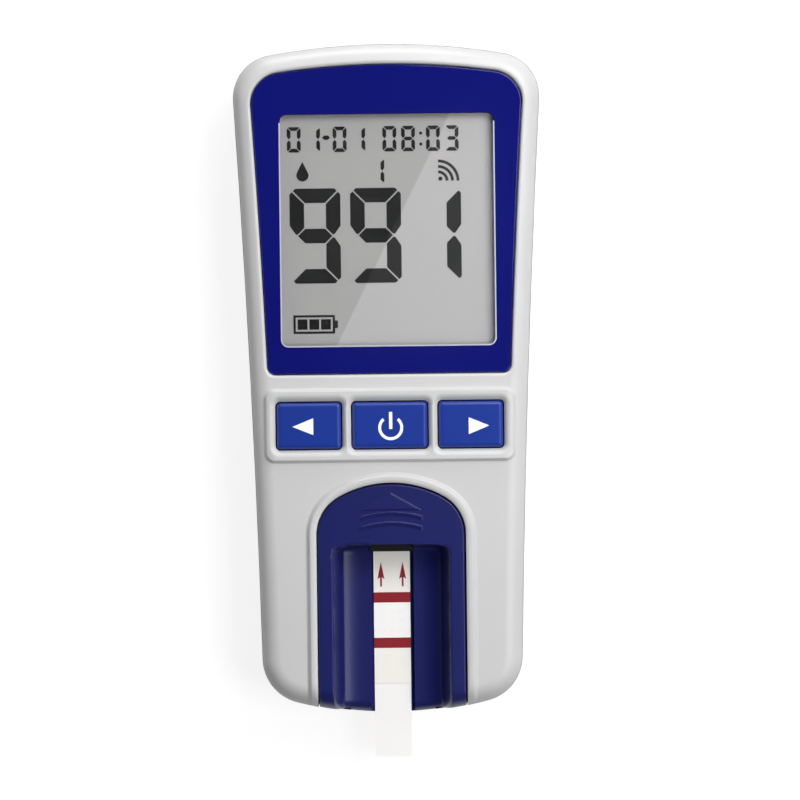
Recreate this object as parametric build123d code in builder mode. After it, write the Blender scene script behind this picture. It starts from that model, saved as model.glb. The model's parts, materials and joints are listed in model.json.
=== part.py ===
"""Hand-held hemoglobin meter with three keys and a slide-out strip holder.

All sizes are in millimetres. The meter lies on its back: Z rises out of the display
face, Y runs towards the display end and X to the right of someone reading it. The
origin is the middle of the flat back, under the centre of the case.
"""
import os
from math import cos, radians, sin, sqrt

from build123d import *

os.makedirs("parts", exist_ok=True)

# Case outline, seen from the front
CASE_LENGTH = 126.0
DISPLAY_CORNER_HALF = 29.25
STRIP_CORNER_HALF = 24.35
SIDE_BOW = 0.63
DISPLAY_END_RADIUS = 128.0
STRIP_END_RADIUS = 72.0
DISPLAY_CORNER_RADIUS = 8.2
STRIP_CORNER_RADIUS = 8.6

# Case heights and walls
PARTING_HEIGHT = 12.0
TRIM_RISE = 0.8
WALL = 2.0
FRONT_EDGE_RADIUS = 3.0
REAR_EDGE_RADIUS = 3.2
PARTING_CHAMFER = 0.25
TRIM_ROUNDING = 0.4

# Lip that lines the two shells up
LIP_THICKNESS = 0.9
LIP_HEIGHT = 0.8
LIP_CLEARANCE = 0.15
LIP_FOOT = -44.0

# Display panel, its window and the tape under it
PANEL_MARGIN = 3.3
PANEL_HEAD_MARGIN = 3.85
PANEL_KEY_GAP = 2.8
PANEL_END_RADIUS = 145.0
PANEL_CORNER_RADIUS = 6.0
PANEL_FOOT_RADIUS = 1.6
PANEL_GAP = 0.15
PANEL_THICKNESS = 1.2
PANEL_SINK = 0.4
PANEL_EDGE_ROUNDING = 0.3
TAPE_THICKNESS = 0.2
TAPE_INSET = 0.3
LEDGE_THICKNESS = 1.4
LEDGE_BITE = 0.5
VIEW_SIDE_BORDER = 3.12
VIEW_HEAD_BORDER = 9.45
VIEW_FOOT_BORDER = 5.45
VIEW_CORNER = 1.2
VIEW_BEVEL = 0.25
WINDOW_LAP = 1.0
WINDOW_THICKNESS = 0.8
WINDOW_REBATE = 0.6
WINDOW_CLEARANCE = 0.1

# Liquid crystal cell
CELL_LAP = 1.1
FRONT_GLASS_LAP = 3.1
REAR_GLASS_LAP = 0.6
GLASS_THICKNESS = 1.1
FILM_THICKNESS = 0.2
CELL_GAP = 0.5
CELL_CLEARANCE = 0.2
ZEBRA_WIDTH = 1.6
ZEBRA_END_GAP = 1.1
ZEBRA_INSET = 1.2
FRAME_WALL_SIDE = 1.5
FRAME_WALL_END = 1.5
SHELF_THICKNESS = 1.0
SHELF_LIFT = 1.7
SHELF_LAP = 1.5

# Main circuit board
BOARD_THICKNESS = 1.6
BOARD_LIFT = 1.4
BOARD_EDGE = 0.2
BOARD_KEY_REACH = 8.3
BOARD_TAB_HALF = 9.0
BOARD_TAB_LENGTH = 5.1
BOARD_SCREW_INSET = 1.8
BOARD_SCREW_RISE = 7.9
TAB_SCREW_INSET = 2.4
TAB_SCREW_X = 6.5
BOARD_BOSS_RADIUS = 2.0
BOARD_SCREW_RADIUS = 0.9
BOARD_SCREW_LENGTH = 5.0
BOARD_SCREW_HEAD_RADIUS = 1.8
BOARD_SCREW_HEAD_HEIGHT = 1.1
SCREW_CLEARANCE = 0.03
PILOT_SPARE = 0.5
LEVEL_TOLERANCE = 0.03
CUT_OVERRUN = 1.0

# Screws that hold the shells together
HEAD_SCREW_X = 15.5
HEAD_SCREW_INSET = 5.6
FOOT_SCREW_X = 18.8
FOOT_SCREW_INSET = 13.0
CASE_BOSS_RADIUS = 2.6
CASE_SCREW_RADIUS = 1.1
CASE_SCREW_HEAD_RADIUS = 1.85
CASE_SCREW_HEAD_HEIGHT = 1.4
CASE_SCREW_LENGTH = 12.0
CASE_SCREW_SEAT = 5.0
COUNTERBORE_RADIUS = 2.0
DRIVE_RADIUS = 1.0
DRIVE_DEPTH = 0.7

# Keys and their frame
KEY_FRAME_MARGIN = 2.36
KEY_FRAME_HEIGHT = 13.5
KEY_FRAME_CORNER = 1.6
KEY_ROW = -8.7
SIDE_KEY_WIDTH = 12.1
KEY_END_GAP = 2.2
KEY_SPACING = 2.1
KEY_HEIGHT = 8.7
KEY_CORNER = 0.7
KEY_GAP = 0.25
KEY_PROUD = 0.6
KEY_EDGE_ROUNDING = 0.8
KEY_WALL = 1.1
KEY_ROOF = 1.3
KEY_FLANGE = 0.8
KEY_FLANGE_THICKNESS = 0.8
KEY_FLANGE_CLEARANCE = 0.2
KEY_STEM_RADIUS = 1.6
KEY_TRAVEL = 0.5

# Switches under the keys
SWITCH_SIZE = 6.0
SWITCH_HEIGHT = 3.5
PLUNGER_RADIUS = 1.6
PLUNGER_RISE = 0.8
PLUNGER_DEPTH = 0.6
PLUNGER_CLEARANCE = 0.06

# Strip holder in its arch
HOLDER_HALF = 13.85
HOLDER_KEY_GAP = 4.25
HOLDER_CROWN_RADIUS = 20.0
HOLDER_SHOULDER_RADIUS = 8.0
HOLDER_GAP = 0.2
HOLDER_EDGE_ROUNDING = 0.3
BEAD_WIDTH = 1.3
NOTCH_WALL = 1.8
NOTCH_FLOOR_THICKNESS = 1.2
TONGUE_PROUD = 0.6
TONGUE_THICKNESS = 1.0
TONGUE_LIFT = 1.6
TONGUE_CLEARANCE = 0.15
TONGUE_SETBACK = 1.9
TONGUE_LENGTH = 26.0
TUNNEL_HALF = 8.2
TUNNEL_FOOT = -56.5
CHANNEL_LIFT = 2.6
CHANNEL_FLOOR_THICKNESS = 1.2

# Trough that the strip lies in
TROUGH_SETBACK = 11.4
TROUGH_TOP_HALF = 11.3
TROUGH_FLOOR_HALF = 8.0
TROUGH_STEP = 0.6
TROUGH_END_SWEEP = 4.9
TROUGH_CORNER_RADIUS = 2.3
TROUGH_STEPS = 6
CHANNEL_HALF = 4.1
CHANNEL_WALL_RISE = 1.2
LIP_ROUNDING = 2.0

# Slot guide at the head of the channel
GUIDE_PROUD = 1.5
GUIDE_LENGTH = 9.0
GUIDE_RISE = 2.2
GUIDE_CLEARANCE = 0.05
GUIDE_SLOT_HEIGHT = 0.9
STRIP_SIDE_CLEARANCE = 0.2

# Finger grip on the holder
GRIP_HALF = 5.8
GRIP_STEP = 0.4
GRIP_ARC_RADIUS = 20.0
GRIP_ARC_SETBACKS = (6.1, 8.0)
GRIP_RIDGE_WIDTH = 0.9
GRIP_ARROW_SETBACK = 5.0
GRIP_ARROW_HEIGHT = 3.3
GRIP_ARROW_RISE = 0.3

# Test strip
STRIP_WIDTH = 6.9
STRIP_THICKNESS = 0.25
STRIP_LAYER = 0.12
STRIP_LENGTH = 47.6
STRIP_TIP_GAP = 0.3
STRIP_OVERHANG = 8.1
STRIP_BAND_FIRST_REACH = 16.5
STRIP_BAND_SECOND_REACH = 25.1
STRIP_BAND_LENGTH = 1.95
STRIP_HANDLE_REACH = 33.7

# Optical head under the strip
OPTICS_HALF = 7.5
OPTICS_REACH = 22.1
OPTICS_LENGTH = 16.0
OPTICS_TOP_GAP = 0.2
OPTICS_HOLE_CLEARANCE = 0.25
OPTICS_BOARD_HALF = 11.5
OPTICS_BOARD_LENGTH = 22.0
OPTICS_BOARD_THICKNESS = 1.6
OPTICS_STANDOFF = 1.4
OPTICS_WINDOW_WIDTH = 8.4
OPTICS_WINDOW_LENGTH = 10.4
OPTICS_WINDOW_THICKNESS = 0.8
OPTICS_WINDOW_CLEARANCE = 0.05
OPTICS_CHAMBER_DEPTH = 3.3
OPTICS_BORE_RADIUS = 1.7
LED_SPACING = 4.8
LED_RADIUS = 1.5
LED_HEIGHT = 3.2
DIODE_SIZE = 2.2
DIODE_HEIGHT = 1.1
OPTICS_SCREW_X = 9.6
OPTICS_SCREW_HEAD_RADIUS = 1.5
OPTICS_SCREW_HEAD_HEIGHT = 0.9
OPTICS_SCREW_RADIUS = 0.8
OPTICS_SCREW_LENGTH = 2.8
OPTICS_POST_RADIUS = 1.8
OPTICS_PILOT_SPARE = 0.2
READ_WINDOW_WIDTH = 5.6
READ_WINDOW_LENGTH = 8.0

# Ribbon from the optical head to the main board
RIBBON_WIDTH = 8.0
RIBBON_THICKNESS = 0.3
CONNECTOR_WIDTH = 10.0
CONNECTOR_LENGTH = 3.0
CONNECTOR_HEIGHT = 1.6
CONNECTOR_Y = -14.8

# Battery bay for four AAA cells
BATTERY_RADIUS = 5.25
BATTERY_LENGTH = 44.5
BATTERY_NUB_RADIUS = 1.9
BATTERY_NUB_HEIGHT = 0.8
BATTERY_GAP = 0.2
BATTERY_SEAT_GAP = 0.3
BATTERY_ROOF_GAP = 0.2
BAY_FOOT = 2.5
BAY_END_SPACE = 5.5
BAY_WALL = 1.4
BAY_ROOF_THICKNESS = 1.0
BAY_SIDE_GAP = 0.3
CRADLE_DEPTH = 2.0
CRADLE_WIDTH = 1.0
CRADLE_END_GAP = 1.5
CONTACT_THICKNESS = 0.4
CONTACT_HALF = 3.8
CONTACT_DROP = 2.95
CONTACT_RISE = 4.25
CONTACT_BUMP = 0.4
CONTACT_BUMP_RADIUS = 1.4
LEAF_THICKNESS = 0.3
LEAF_WIDTH = 5.0
LEAF_ROOT = 1.5
TAIL_WIDTH = 2.4
TAIL_CLEARANCE = 0.4

# Battery door
DOOR_THICKNESS = 1.6
DOOR_GAP = 0.2
DOOR_SEAT_GAP = 0.1
DOOR_LEDGE = 1.0
DOOR_TAB_WIDTH = 3.0
DOOR_TAB_REACH = 1.7
DOOR_TAB_THICKNESS = 1.0
DOOR_TAB_CLEARANCE = 0.1
DOOR_NOTCH_CLEARANCE = 0.3
DOOR_NOTCH_TOP = 3.9
DOOR_RIB_WIDTH = 1.2
DOOR_RIB_RISE = 1.0
DOOR_RIB_SETBACK = 4.0
LATCH_WIDTH = 2.4
LATCH_HEIGHT = 5.5
LATCH_THICKNESS = 0.7
LATCH_NOSE = 0.2
LATCH_NOSE_TOP = 0.4
LATCH_NOSE_DEPTH = 1.0
LATCH_WALL_GAP = 0.45
LATCH_WINDOW = 2.0
DOOR_GRIP_DEPTH = 0.4
DOOR_GRIP_WIDTH = 16.0
DOOR_GRIP_PITCH = 2.0
DOOR_GRIP_COUNT = 4
DOOR_GRIP_FIRST = 5.0

# Rear label and sound holes
LABEL_WIDTH = 34.0
LABEL_LENGTH = 27.0
LABEL_CENTRE = -31.5
LABEL_CORNER = 1.5
LABEL_THICKNESS = 0.1
LABEL_GAP = 0.1
LABEL_RECESS = 0.15
SOUND_HOLE_RADIUS = 0.6
SOUND_RING_RADIUS = 2.6
SOUND_RING_COUNT = 6

# Parts on the main board
BUZZER_X = -12.0
BUZZER_Y = -8.5
BUZZER_RADIUS = 6.0
BUZZER_HEIGHT = 5.5
BUZZER_PORT_RADIUS = 1.0
CONTROLLER_X = 5.0
CONTROLLER_Y = -8.0
CONTROLLER_SIZE = 10.0
CHIP_HEIGHT = 1.4
MEMORY_X = 14.5
MEMORY_Y = -10.5
MEMORY_WIDTH = 5.0
MEMORY_LENGTH = 4.0
CRYSTAL_X = 15.2
CRYSTAL_Y = -5.0
CRYSTAL_WIDTH = 10.0
CRYSTAL_LENGTH = 4.0
CRYSTAL_HEIGHT = 3.4
CAPACITOR_X = -3.2
CAPACITOR_Y = (-5.0, -10.0)
CAPACITOR_RADIUS = 2.0
CAPACITOR_HEIGHT = 5.4

# Data socket in the right side wall and code chip in the left one
PORT_ROW = -12.8
SOCKET_WIDTH = 7.5
SOCKET_HEIGHT = 2.6
SOCKET_DEPTH = 5.6
SOCKET_SHELL = 0.3
SOCKET_WALL_REACH = 0.7
PORT_CLEARANCE = 0.35
CHIP_WIDTH = 6.4
CHIP_THICKNESS = 2.4
CHIP_LENGTH = 5.9
CHIP_SINK = 0.3
CHIP_HEAD_LENGTH = 1.6
CHIP_HEAD_LIP = 0.5
CHIP_LIFT = 0.6
CHIP_CLEARANCE = 0.12
CHIP_SOCKET_WALL = 0.8

# Heights, stacked from the battery door up to the face
BATTERY_HEIGHT = DOOR_THICKNESS + BATTERY_SEAT_GAP + BATTERY_RADIUS
BAY_ROOF_HEIGHT = BATTERY_HEIGHT + BATTERY_RADIUS + BATTERY_ROOF_GAP
BAY_TOP_HEIGHT = BAY_ROOF_HEIGHT + BAY_ROOF_THICKNESS
CONTACT_LOW = BATTERY_HEIGHT - CONTACT_DROP
CONTACT_HIGH = BATTERY_HEIGHT + CONTACT_RISE
BOARD_BASE_HEIGHT = BAY_TOP_HEIGHT + BOARD_LIFT
BOARD_TOP_HEIGHT = BOARD_BASE_HEIGHT + BOARD_THICKNESS
REFLECTOR_BASE = BOARD_TOP_HEIGHT + SHELF_LIFT + SHELF_THICKNESS
REAR_GLASS_BASE = REFLECTOR_BASE + FILM_THICKNESS
FRONT_GLASS_BASE = REAR_GLASS_BASE + GLASS_THICKNESS
FRONT_POLARIZER_BASE = FRONT_GLASS_BASE + GLASS_THICKNESS
WINDOW_TOP_HEIGHT = FRONT_POLARIZER_BASE + FILM_THICKNESS + CELL_GAP + WINDOW_THICKNESS
PANEL_BASE_HEIGHT = WINDOW_TOP_HEIGHT - WINDOW_REBATE
PANEL_TOP_HEIGHT = PANEL_BASE_HEIGHT + PANEL_THICKNESS
FACE_HEIGHT = PANEL_TOP_HEIGHT + PANEL_SINK
CREST_HEIGHT = FACE_HEIGHT + TRIM_RISE
ROOF_HEIGHT = FACE_HEIGHT - WALL
LEDGE_TOP_HEIGHT = PANEL_BASE_HEIGHT - TAPE_THICKNESS
LEDGE_BASE_HEIGHT = LEDGE_TOP_HEIGHT - LEDGE_THICKNESS
KEY_TOP_HEIGHT = FACE_HEIGHT + KEY_PROUD
SWITCH_TOP_HEIGHT = BOARD_TOP_HEIGHT + SWITCH_HEIGHT
PLUNGER_TOP_HEIGHT = SWITCH_TOP_HEIGHT + PLUNGER_RISE

# Heights of the strip holder, stacked from the parting plane up
NOTCH_FLOOR_TOP = PARTING_HEIGHT + NOTCH_FLOOR_THICKNESS
HOLDER_BASE_HEIGHT = NOTCH_FLOOR_TOP + HOLDER_GAP
TONGUE_HEIGHT = HOLDER_BASE_HEIGHT + TONGUE_LIFT
CHANNEL_HEIGHT = HOLDER_BASE_HEIGHT + CHANNEL_LIFT
CHANNEL_WALL_HEIGHT = CHANNEL_HEIGHT + CHANNEL_WALL_RISE
TUNNEL_HEIGHT = CHANNEL_HEIGHT - CHANNEL_FLOOR_THICKNESS
TROUGH_FLOOR_HEIGHT = CHANNEL_WALL_HEIGHT + TROUGH_STEP
TROUGH_DEPTH = FACE_HEIGHT - TROUGH_FLOOR_HEIGHT
STRIP_TOP_HEIGHT = CHANNEL_HEIGHT + STRIP_THICKNESS
OPTICS_TOP_HEIGHT = TUNNEL_HEIGHT - OPTICS_TOP_GAP
OPTICS_CHAMBER_TOP = OPTICS_TOP_HEIGHT - OPTICS_WINDOW_THICKNESS
OPTICS_BOARD_BASE = WALL + OPTICS_STANDOFF
OPTICS_BASE_HEIGHT = OPTICS_BOARD_BASE + OPTICS_BOARD_THICKNESS

# Places along the length, from the key row to both ends
PANEL_APEX = CASE_LENGTH / 2 - PANEL_HEAD_MARGIN
PANEL_FOOT = KEY_ROW + KEY_FRAME_HEIGHT / 2 + PANEL_KEY_GAP
VIEW_HEAD = PANEL_APEX - VIEW_HEAD_BORDER
VIEW_FOOT = PANEL_FOOT + VIEW_FOOT_BORDER
VIEW_HEIGHT = VIEW_HEAD - VIEW_FOOT
VIEW_CENTRE = (VIEW_HEAD + VIEW_FOOT) / 2
FRONT_GLASS_HEIGHT = VIEW_HEIGHT + 2 * FRONT_GLASS_LAP
REAR_GLASS_HEIGHT = VIEW_HEIGHT + 2 * REAR_GLASS_LAP
BOARD_FOOT = KEY_ROW - BOARD_KEY_REACH
BOARD_HEAD = VIEW_CENTRE + FRONT_GLASS_HEIGHT / 2 + CELL_CLEARANCE + FRAME_WALL_END
BOARD_TAB_HEAD = BOARD_HEAD + BOARD_TAB_LENGTH
HEAD_SCREW_Y = CASE_LENGTH / 2 - HEAD_SCREW_INSET
FOOT_SCREW_Y = FOOT_SCREW_INSET - CASE_LENGTH / 2
CASE_SCREWS = (
    (-HEAD_SCREW_X, HEAD_SCREW_Y),
    (HEAD_SCREW_X, HEAD_SCREW_Y),
    (-FOOT_SCREW_X, FOOT_SCREW_Y),
    (FOOT_SCREW_X, FOOT_SCREW_Y),
)
HOLDER_APEX = KEY_ROW - KEY_FRAME_HEIGHT / 2 - HOLDER_KEY_GAP
GRIP_ARROW_BASE = HOLDER_APEX - GRIP_ARROW_SETBACK
GRIP_ARC_CRESTS = tuple(HOLDER_APEX - setback for setback in GRIP_ARC_SETBACKS)
TROUGH_HEAD = HOLDER_APEX - TROUGH_SETBACK
TROUGH_FLOOR_HEAD = TROUGH_HEAD - TROUGH_END_SWEEP
TONGUE_HEAD = TROUGH_HEAD - TONGUE_SETBACK
TONGUE_FOOT = TONGUE_HEAD - TONGUE_LENGTH
GUIDE_FOOT = TROUGH_HEAD - GUIDE_PROUD
GUIDE_HEAD = GUIDE_FOOT + GUIDE_LENGTH
STRIP_HEAD = GUIDE_HEAD - STRIP_TIP_GAP
STRIP_FOOT = STRIP_HEAD - STRIP_LENGTH
STRIP_BAND_FIRST = STRIP_HEAD - STRIP_BAND_FIRST_REACH
STRIP_BAND_SECOND = STRIP_HEAD - STRIP_BAND_SECOND_REACH
STRIP_HANDLE_START = STRIP_HEAD - STRIP_HANDLE_REACH
OPTICS_CENTRE = STRIP_HEAD - OPTICS_REACH
FOOT_PAST_STRIP = -CASE_LENGTH / 2 - STRIP_OVERHANG - 1.0
BATTERY_PITCH = 2 * BATTERY_RADIUS + BATTERY_GAP
BATTERY_ROW = tuple((index - 1.5) * BATTERY_PITCH for index in range(4))
BAY_LENGTH = BATTERY_LENGTH + BAY_END_SPACE
BAY_HALF = 1.5 * BATTERY_PITCH + BATTERY_RADIUS + BAY_SIDE_GAP
BAY_HEAD = BAY_FOOT + BAY_LENGTH
DOOR_HALF = BAY_HALF + DOOR_LEDGE - DOOR_GAP
DOOR_FOOT = BAY_FOOT - BAY_WALL + DOOR_GAP
HINGE_Y = BAY_HEAD + BAY_WALL - DOOR_GAP
DISPLAY_CORNER_Y = CASE_LENGTH / 2 - DISPLAY_END_RADIUS + sqrt(DISPLAY_END_RADIUS**2 - DISPLAY_CORNER_HALF**2)
STRIP_CORNER_Y = STRIP_END_RADIUS - CASE_LENGTH / 2 - sqrt(STRIP_END_RADIUS**2 - STRIP_CORNER_HALF**2)


def arc_drop(radius, half):
    """How far an arc falls from its crown at half a chord."""
    return radius - sqrt(radius**2 - half**2)


def case_half_width(y):
    """Half of the case's width at a place along its length."""
    along = (y - STRIP_CORNER_Y) / (DISPLAY_CORNER_Y - STRIP_CORNER_Y)
    straight = STRIP_CORNER_HALF + (DISPLAY_CORNER_HALF - STRIP_CORNER_HALF) * along
    return straight - 4 * SIDE_BOW * along * (1 - along)


# Widths that follow from the case's width where they lie
VIEW_WIDTH = 2 * (case_half_width(VIEW_FOOT) - PANEL_MARGIN - VIEW_SIDE_BORDER)
CELL_WIDTH = VIEW_WIDTH + 2 * CELL_LAP
ZEBRA_LENGTH = CELL_WIDTH - 2 * ZEBRA_END_GAP
BOARD_HALF = CELL_WIDTH / 2 + CELL_CLEARANCE + FRAME_WALL_SIDE + BOARD_EDGE
BOARD_SCREW_X = BOARD_HALF - BOARD_SCREW_INSET
BOARD_SCREW_Y = KEY_ROW + BOARD_SCREW_RISE
TAB_SCREW_Y = BOARD_TAB_HEAD - TAB_SCREW_INSET
BOARD_SCREWS = (
    (-BOARD_SCREW_X, BOARD_SCREW_Y),
    (BOARD_SCREW_X, BOARD_SCREW_Y),
    (-TAB_SCREW_X, TAB_SCREW_Y),
    (TAB_SCREW_X, TAB_SCREW_Y),
)
KEY_FRAME_WIDTH = 2 * (case_half_width(KEY_ROW) - KEY_FRAME_MARGIN)
KEY_PITCH = KEY_FRAME_WIDTH / 2 - KEY_END_GAP - SIDE_KEY_WIDTH / 2
POWER_KEY_WIDTH = 2 * (KEY_PITCH - SIDE_KEY_WIDTH / 2 - KEY_SPACING)


def case_outline(inset, height):
    """The case's outline drawn in by inset, at a height."""
    end = CASE_LENGTH / 2 - inset
    display_half = DISPLAY_CORNER_HALF - inset
    strip_half = STRIP_CORNER_HALF - inset
    display_y = end - arc_drop(DISPLAY_END_RADIUS - inset, display_half)
    strip_y = arc_drop(STRIP_END_RADIUS - inset, strip_half) - end
    middle_y = (display_y + strip_y) / 2
    middle_half = case_half_width(middle_y) - inset
    with BuildSketch(Plane.XY.offset(height)) as outline:
        with BuildLine():
            ThreePointArc((-display_half, display_y), (0, end), (display_half, display_y))
            ThreePointArc((display_half, display_y), (middle_half, middle_y), (strip_half, strip_y))
            ThreePointArc((strip_half, strip_y), (0, -end), (-strip_half, strip_y))
            ThreePointArc((-strip_half, strip_y), (-middle_half, middle_y), (-display_half, display_y))
        make_face()
        fillet(outline.vertices().group_by(Axis.Y)[-1], DISPLAY_CORNER_RADIUS - inset)
        fillet(outline.vertices().group_by(Axis.Y)[0], STRIP_CORNER_RADIUS - inset)
    return outline.sketch


def panel_outline(inset, height):
    """The display panel's outline drawn in by inset, at a height."""
    head = PANEL_APEX - inset
    foot = PANEL_FOOT + inset
    margin = PANEL_MARGIN + inset
    head_half = case_half_width(head) - margin
    head_y = head - arc_drop(PANEL_END_RADIUS - inset, head_half)
    middle_y = (head_y + foot) / 2
    middle_half = case_half_width(middle_y) - margin
    foot_half = case_half_width(foot) - margin
    with BuildSketch(Plane.XY.offset(height)) as outline:
        with BuildLine():
            ThreePointArc((-head_half, head_y), (0, head), (head_half, head_y))
            ThreePointArc((head_half, head_y), (middle_half, middle_y), (foot_half, foot))
            Line((foot_half, foot), (-foot_half, foot))
            ThreePointArc((-foot_half, foot), (-middle_half, middle_y), (-head_half, head_y))
        make_face()
        fillet(outline.vertices().group_by(Axis.Y)[-1], PANEL_CORNER_RADIUS - inset)
        fillet(outline.vertices().group_by(Axis.Y)[0], PANEL_FOOT_RADIUS - inset)
    return outline.sketch


def arch_outline(gap, height):
    """The strip holder's arch grown by gap, running out past the strip end."""
    half = HOLDER_HALF + gap
    apex = HOLDER_APEX + gap
    shoulder_y = apex - arc_drop(HOLDER_CROWN_RADIUS + gap, half)
    with BuildSketch(Plane.XY.offset(height)) as outline:
        with BuildLine():
            ThreePointArc((-half, shoulder_y), (0, apex), (half, shoulder_y))
            Line((half, shoulder_y), (half, FOOT_PAST_STRIP))
            Line((half, FOOT_PAST_STRIP), (-half, FOOT_PAST_STRIP))
            Line((-half, FOOT_PAST_STRIP), (-half, shoulder_y))
        make_face()
        fillet(outline.vertices().group_by(Axis.Y)[-1], HOLDER_SHOULDER_RADIUS + gap)
    return outline.sketch


def key_widths():
    """Each key's place along the row and its width, from left to right."""
    return ((-KEY_PITCH, SIDE_KEY_WIDTH), (0, POWER_KEY_WIDTH), (KEY_PITCH, SIDE_KEY_WIDTH))


def key_openings(height):
    """The three openings that the keys rise through."""
    with BuildSketch(Plane.XY.offset(height)) as openings:
        for key_x, key_width in key_widths():
            with Locations((key_x, KEY_ROW)):
                RectangleRounded(key_width + 2 * KEY_GAP, KEY_HEIGHT + 2 * KEY_GAP, KEY_CORNER + KEY_GAP)
    return openings.sketch


def trough_section(turn):
    """The trough's outline at a turn down its quarter-ellipse wall, in degrees."""
    spread = cos(radians(turn))
    depth = TROUGH_DEPTH * sin(radians(turn))
    half = TROUGH_FLOOR_HALF + (TROUGH_TOP_HALF - TROUGH_FLOOR_HALF) * spread
    head = TROUGH_FLOOR_HEAD + TROUGH_END_SWEEP * spread
    with BuildSketch(Plane.XY.offset(FACE_HEIGHT - depth)) as section:
        with BuildLine():
            Polyline((-half, head), (half, head), (half, FOOT_PAST_STRIP), (-half, FOOT_PAST_STRIP), close=True)
        make_face()
        fillet(section.vertices().group_by(Axis.Y)[-1], TROUGH_CORNER_RADIUS)
    return section.sketch


def edges_at(part, height, head=CASE_LENGTH, foot=-CASE_LENGTH):
    """A part's edges that lie at a height, between two places along its length."""
    level = part.edges().filter_by(lambda edge: abs(edge.center().Z - height) < LEVEL_TOLERANCE)
    return level.filter_by(lambda edge: foot < edge.center().Y < head)


def block(low, high, mode=Mode.ADD):
    """A box between its lowest and its highest corner."""
    centre = tuple((a + b) / 2 for a, b in zip(low, high))
    size = tuple(b - a for a, b in zip(low, high))
    with Locations(centre):
        Box(*size, mode=mode)


def disc(x, y, low, high, radius, mode=Mode.ADD):
    """An upright cylinder between two heights."""
    with Locations((x, y, (low + high) / 2)):
        Cylinder(radius, high - low, mode=mode)


# Front housing
with BuildPart() as raised_trim:
    extrude(case_outline(0, PARTING_HEIGHT), amount=CREST_HEIGHT - PARTING_HEIGHT)
    fillet(raised_trim.edges().group_by(Axis.Z)[-1], FRONT_EDGE_RADIUS + TRIM_RISE)
    with BuildSketch(Plane.XY.offset(FACE_HEIGHT - FRONT_EDGE_RADIUS)):
        with Locations((0, KEY_ROW)):
            RectangleRounded(KEY_FRAME_WIDTH, KEY_FRAME_HEIGHT, KEY_FRAME_CORNER)
        add(key_openings(0), mode=Mode.SUBTRACT)
        add(arch_outline(HOLDER_GAP + BEAD_WIDTH, 0))
        add(arch_outline(HOLDER_GAP, 0), mode=Mode.SUBTRACT)
    extrude(amount=CREST_HEIGHT, mode=Mode.INTERSECT)
    fillet(edges_at(raised_trim, CREST_HEIGHT), TRIM_ROUNDING)

with BuildPart() as front_cavity:
    extrude(case_outline(WALL, PARTING_HEIGHT - CUT_OVERRUN), amount=ROOF_HEIGHT - PARTING_HEIGHT + CUT_OVERRUN)
    fillet(front_cavity.edges().group_by(Axis.Z)[-1], FRONT_EDGE_RADIUS - WALL)

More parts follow.
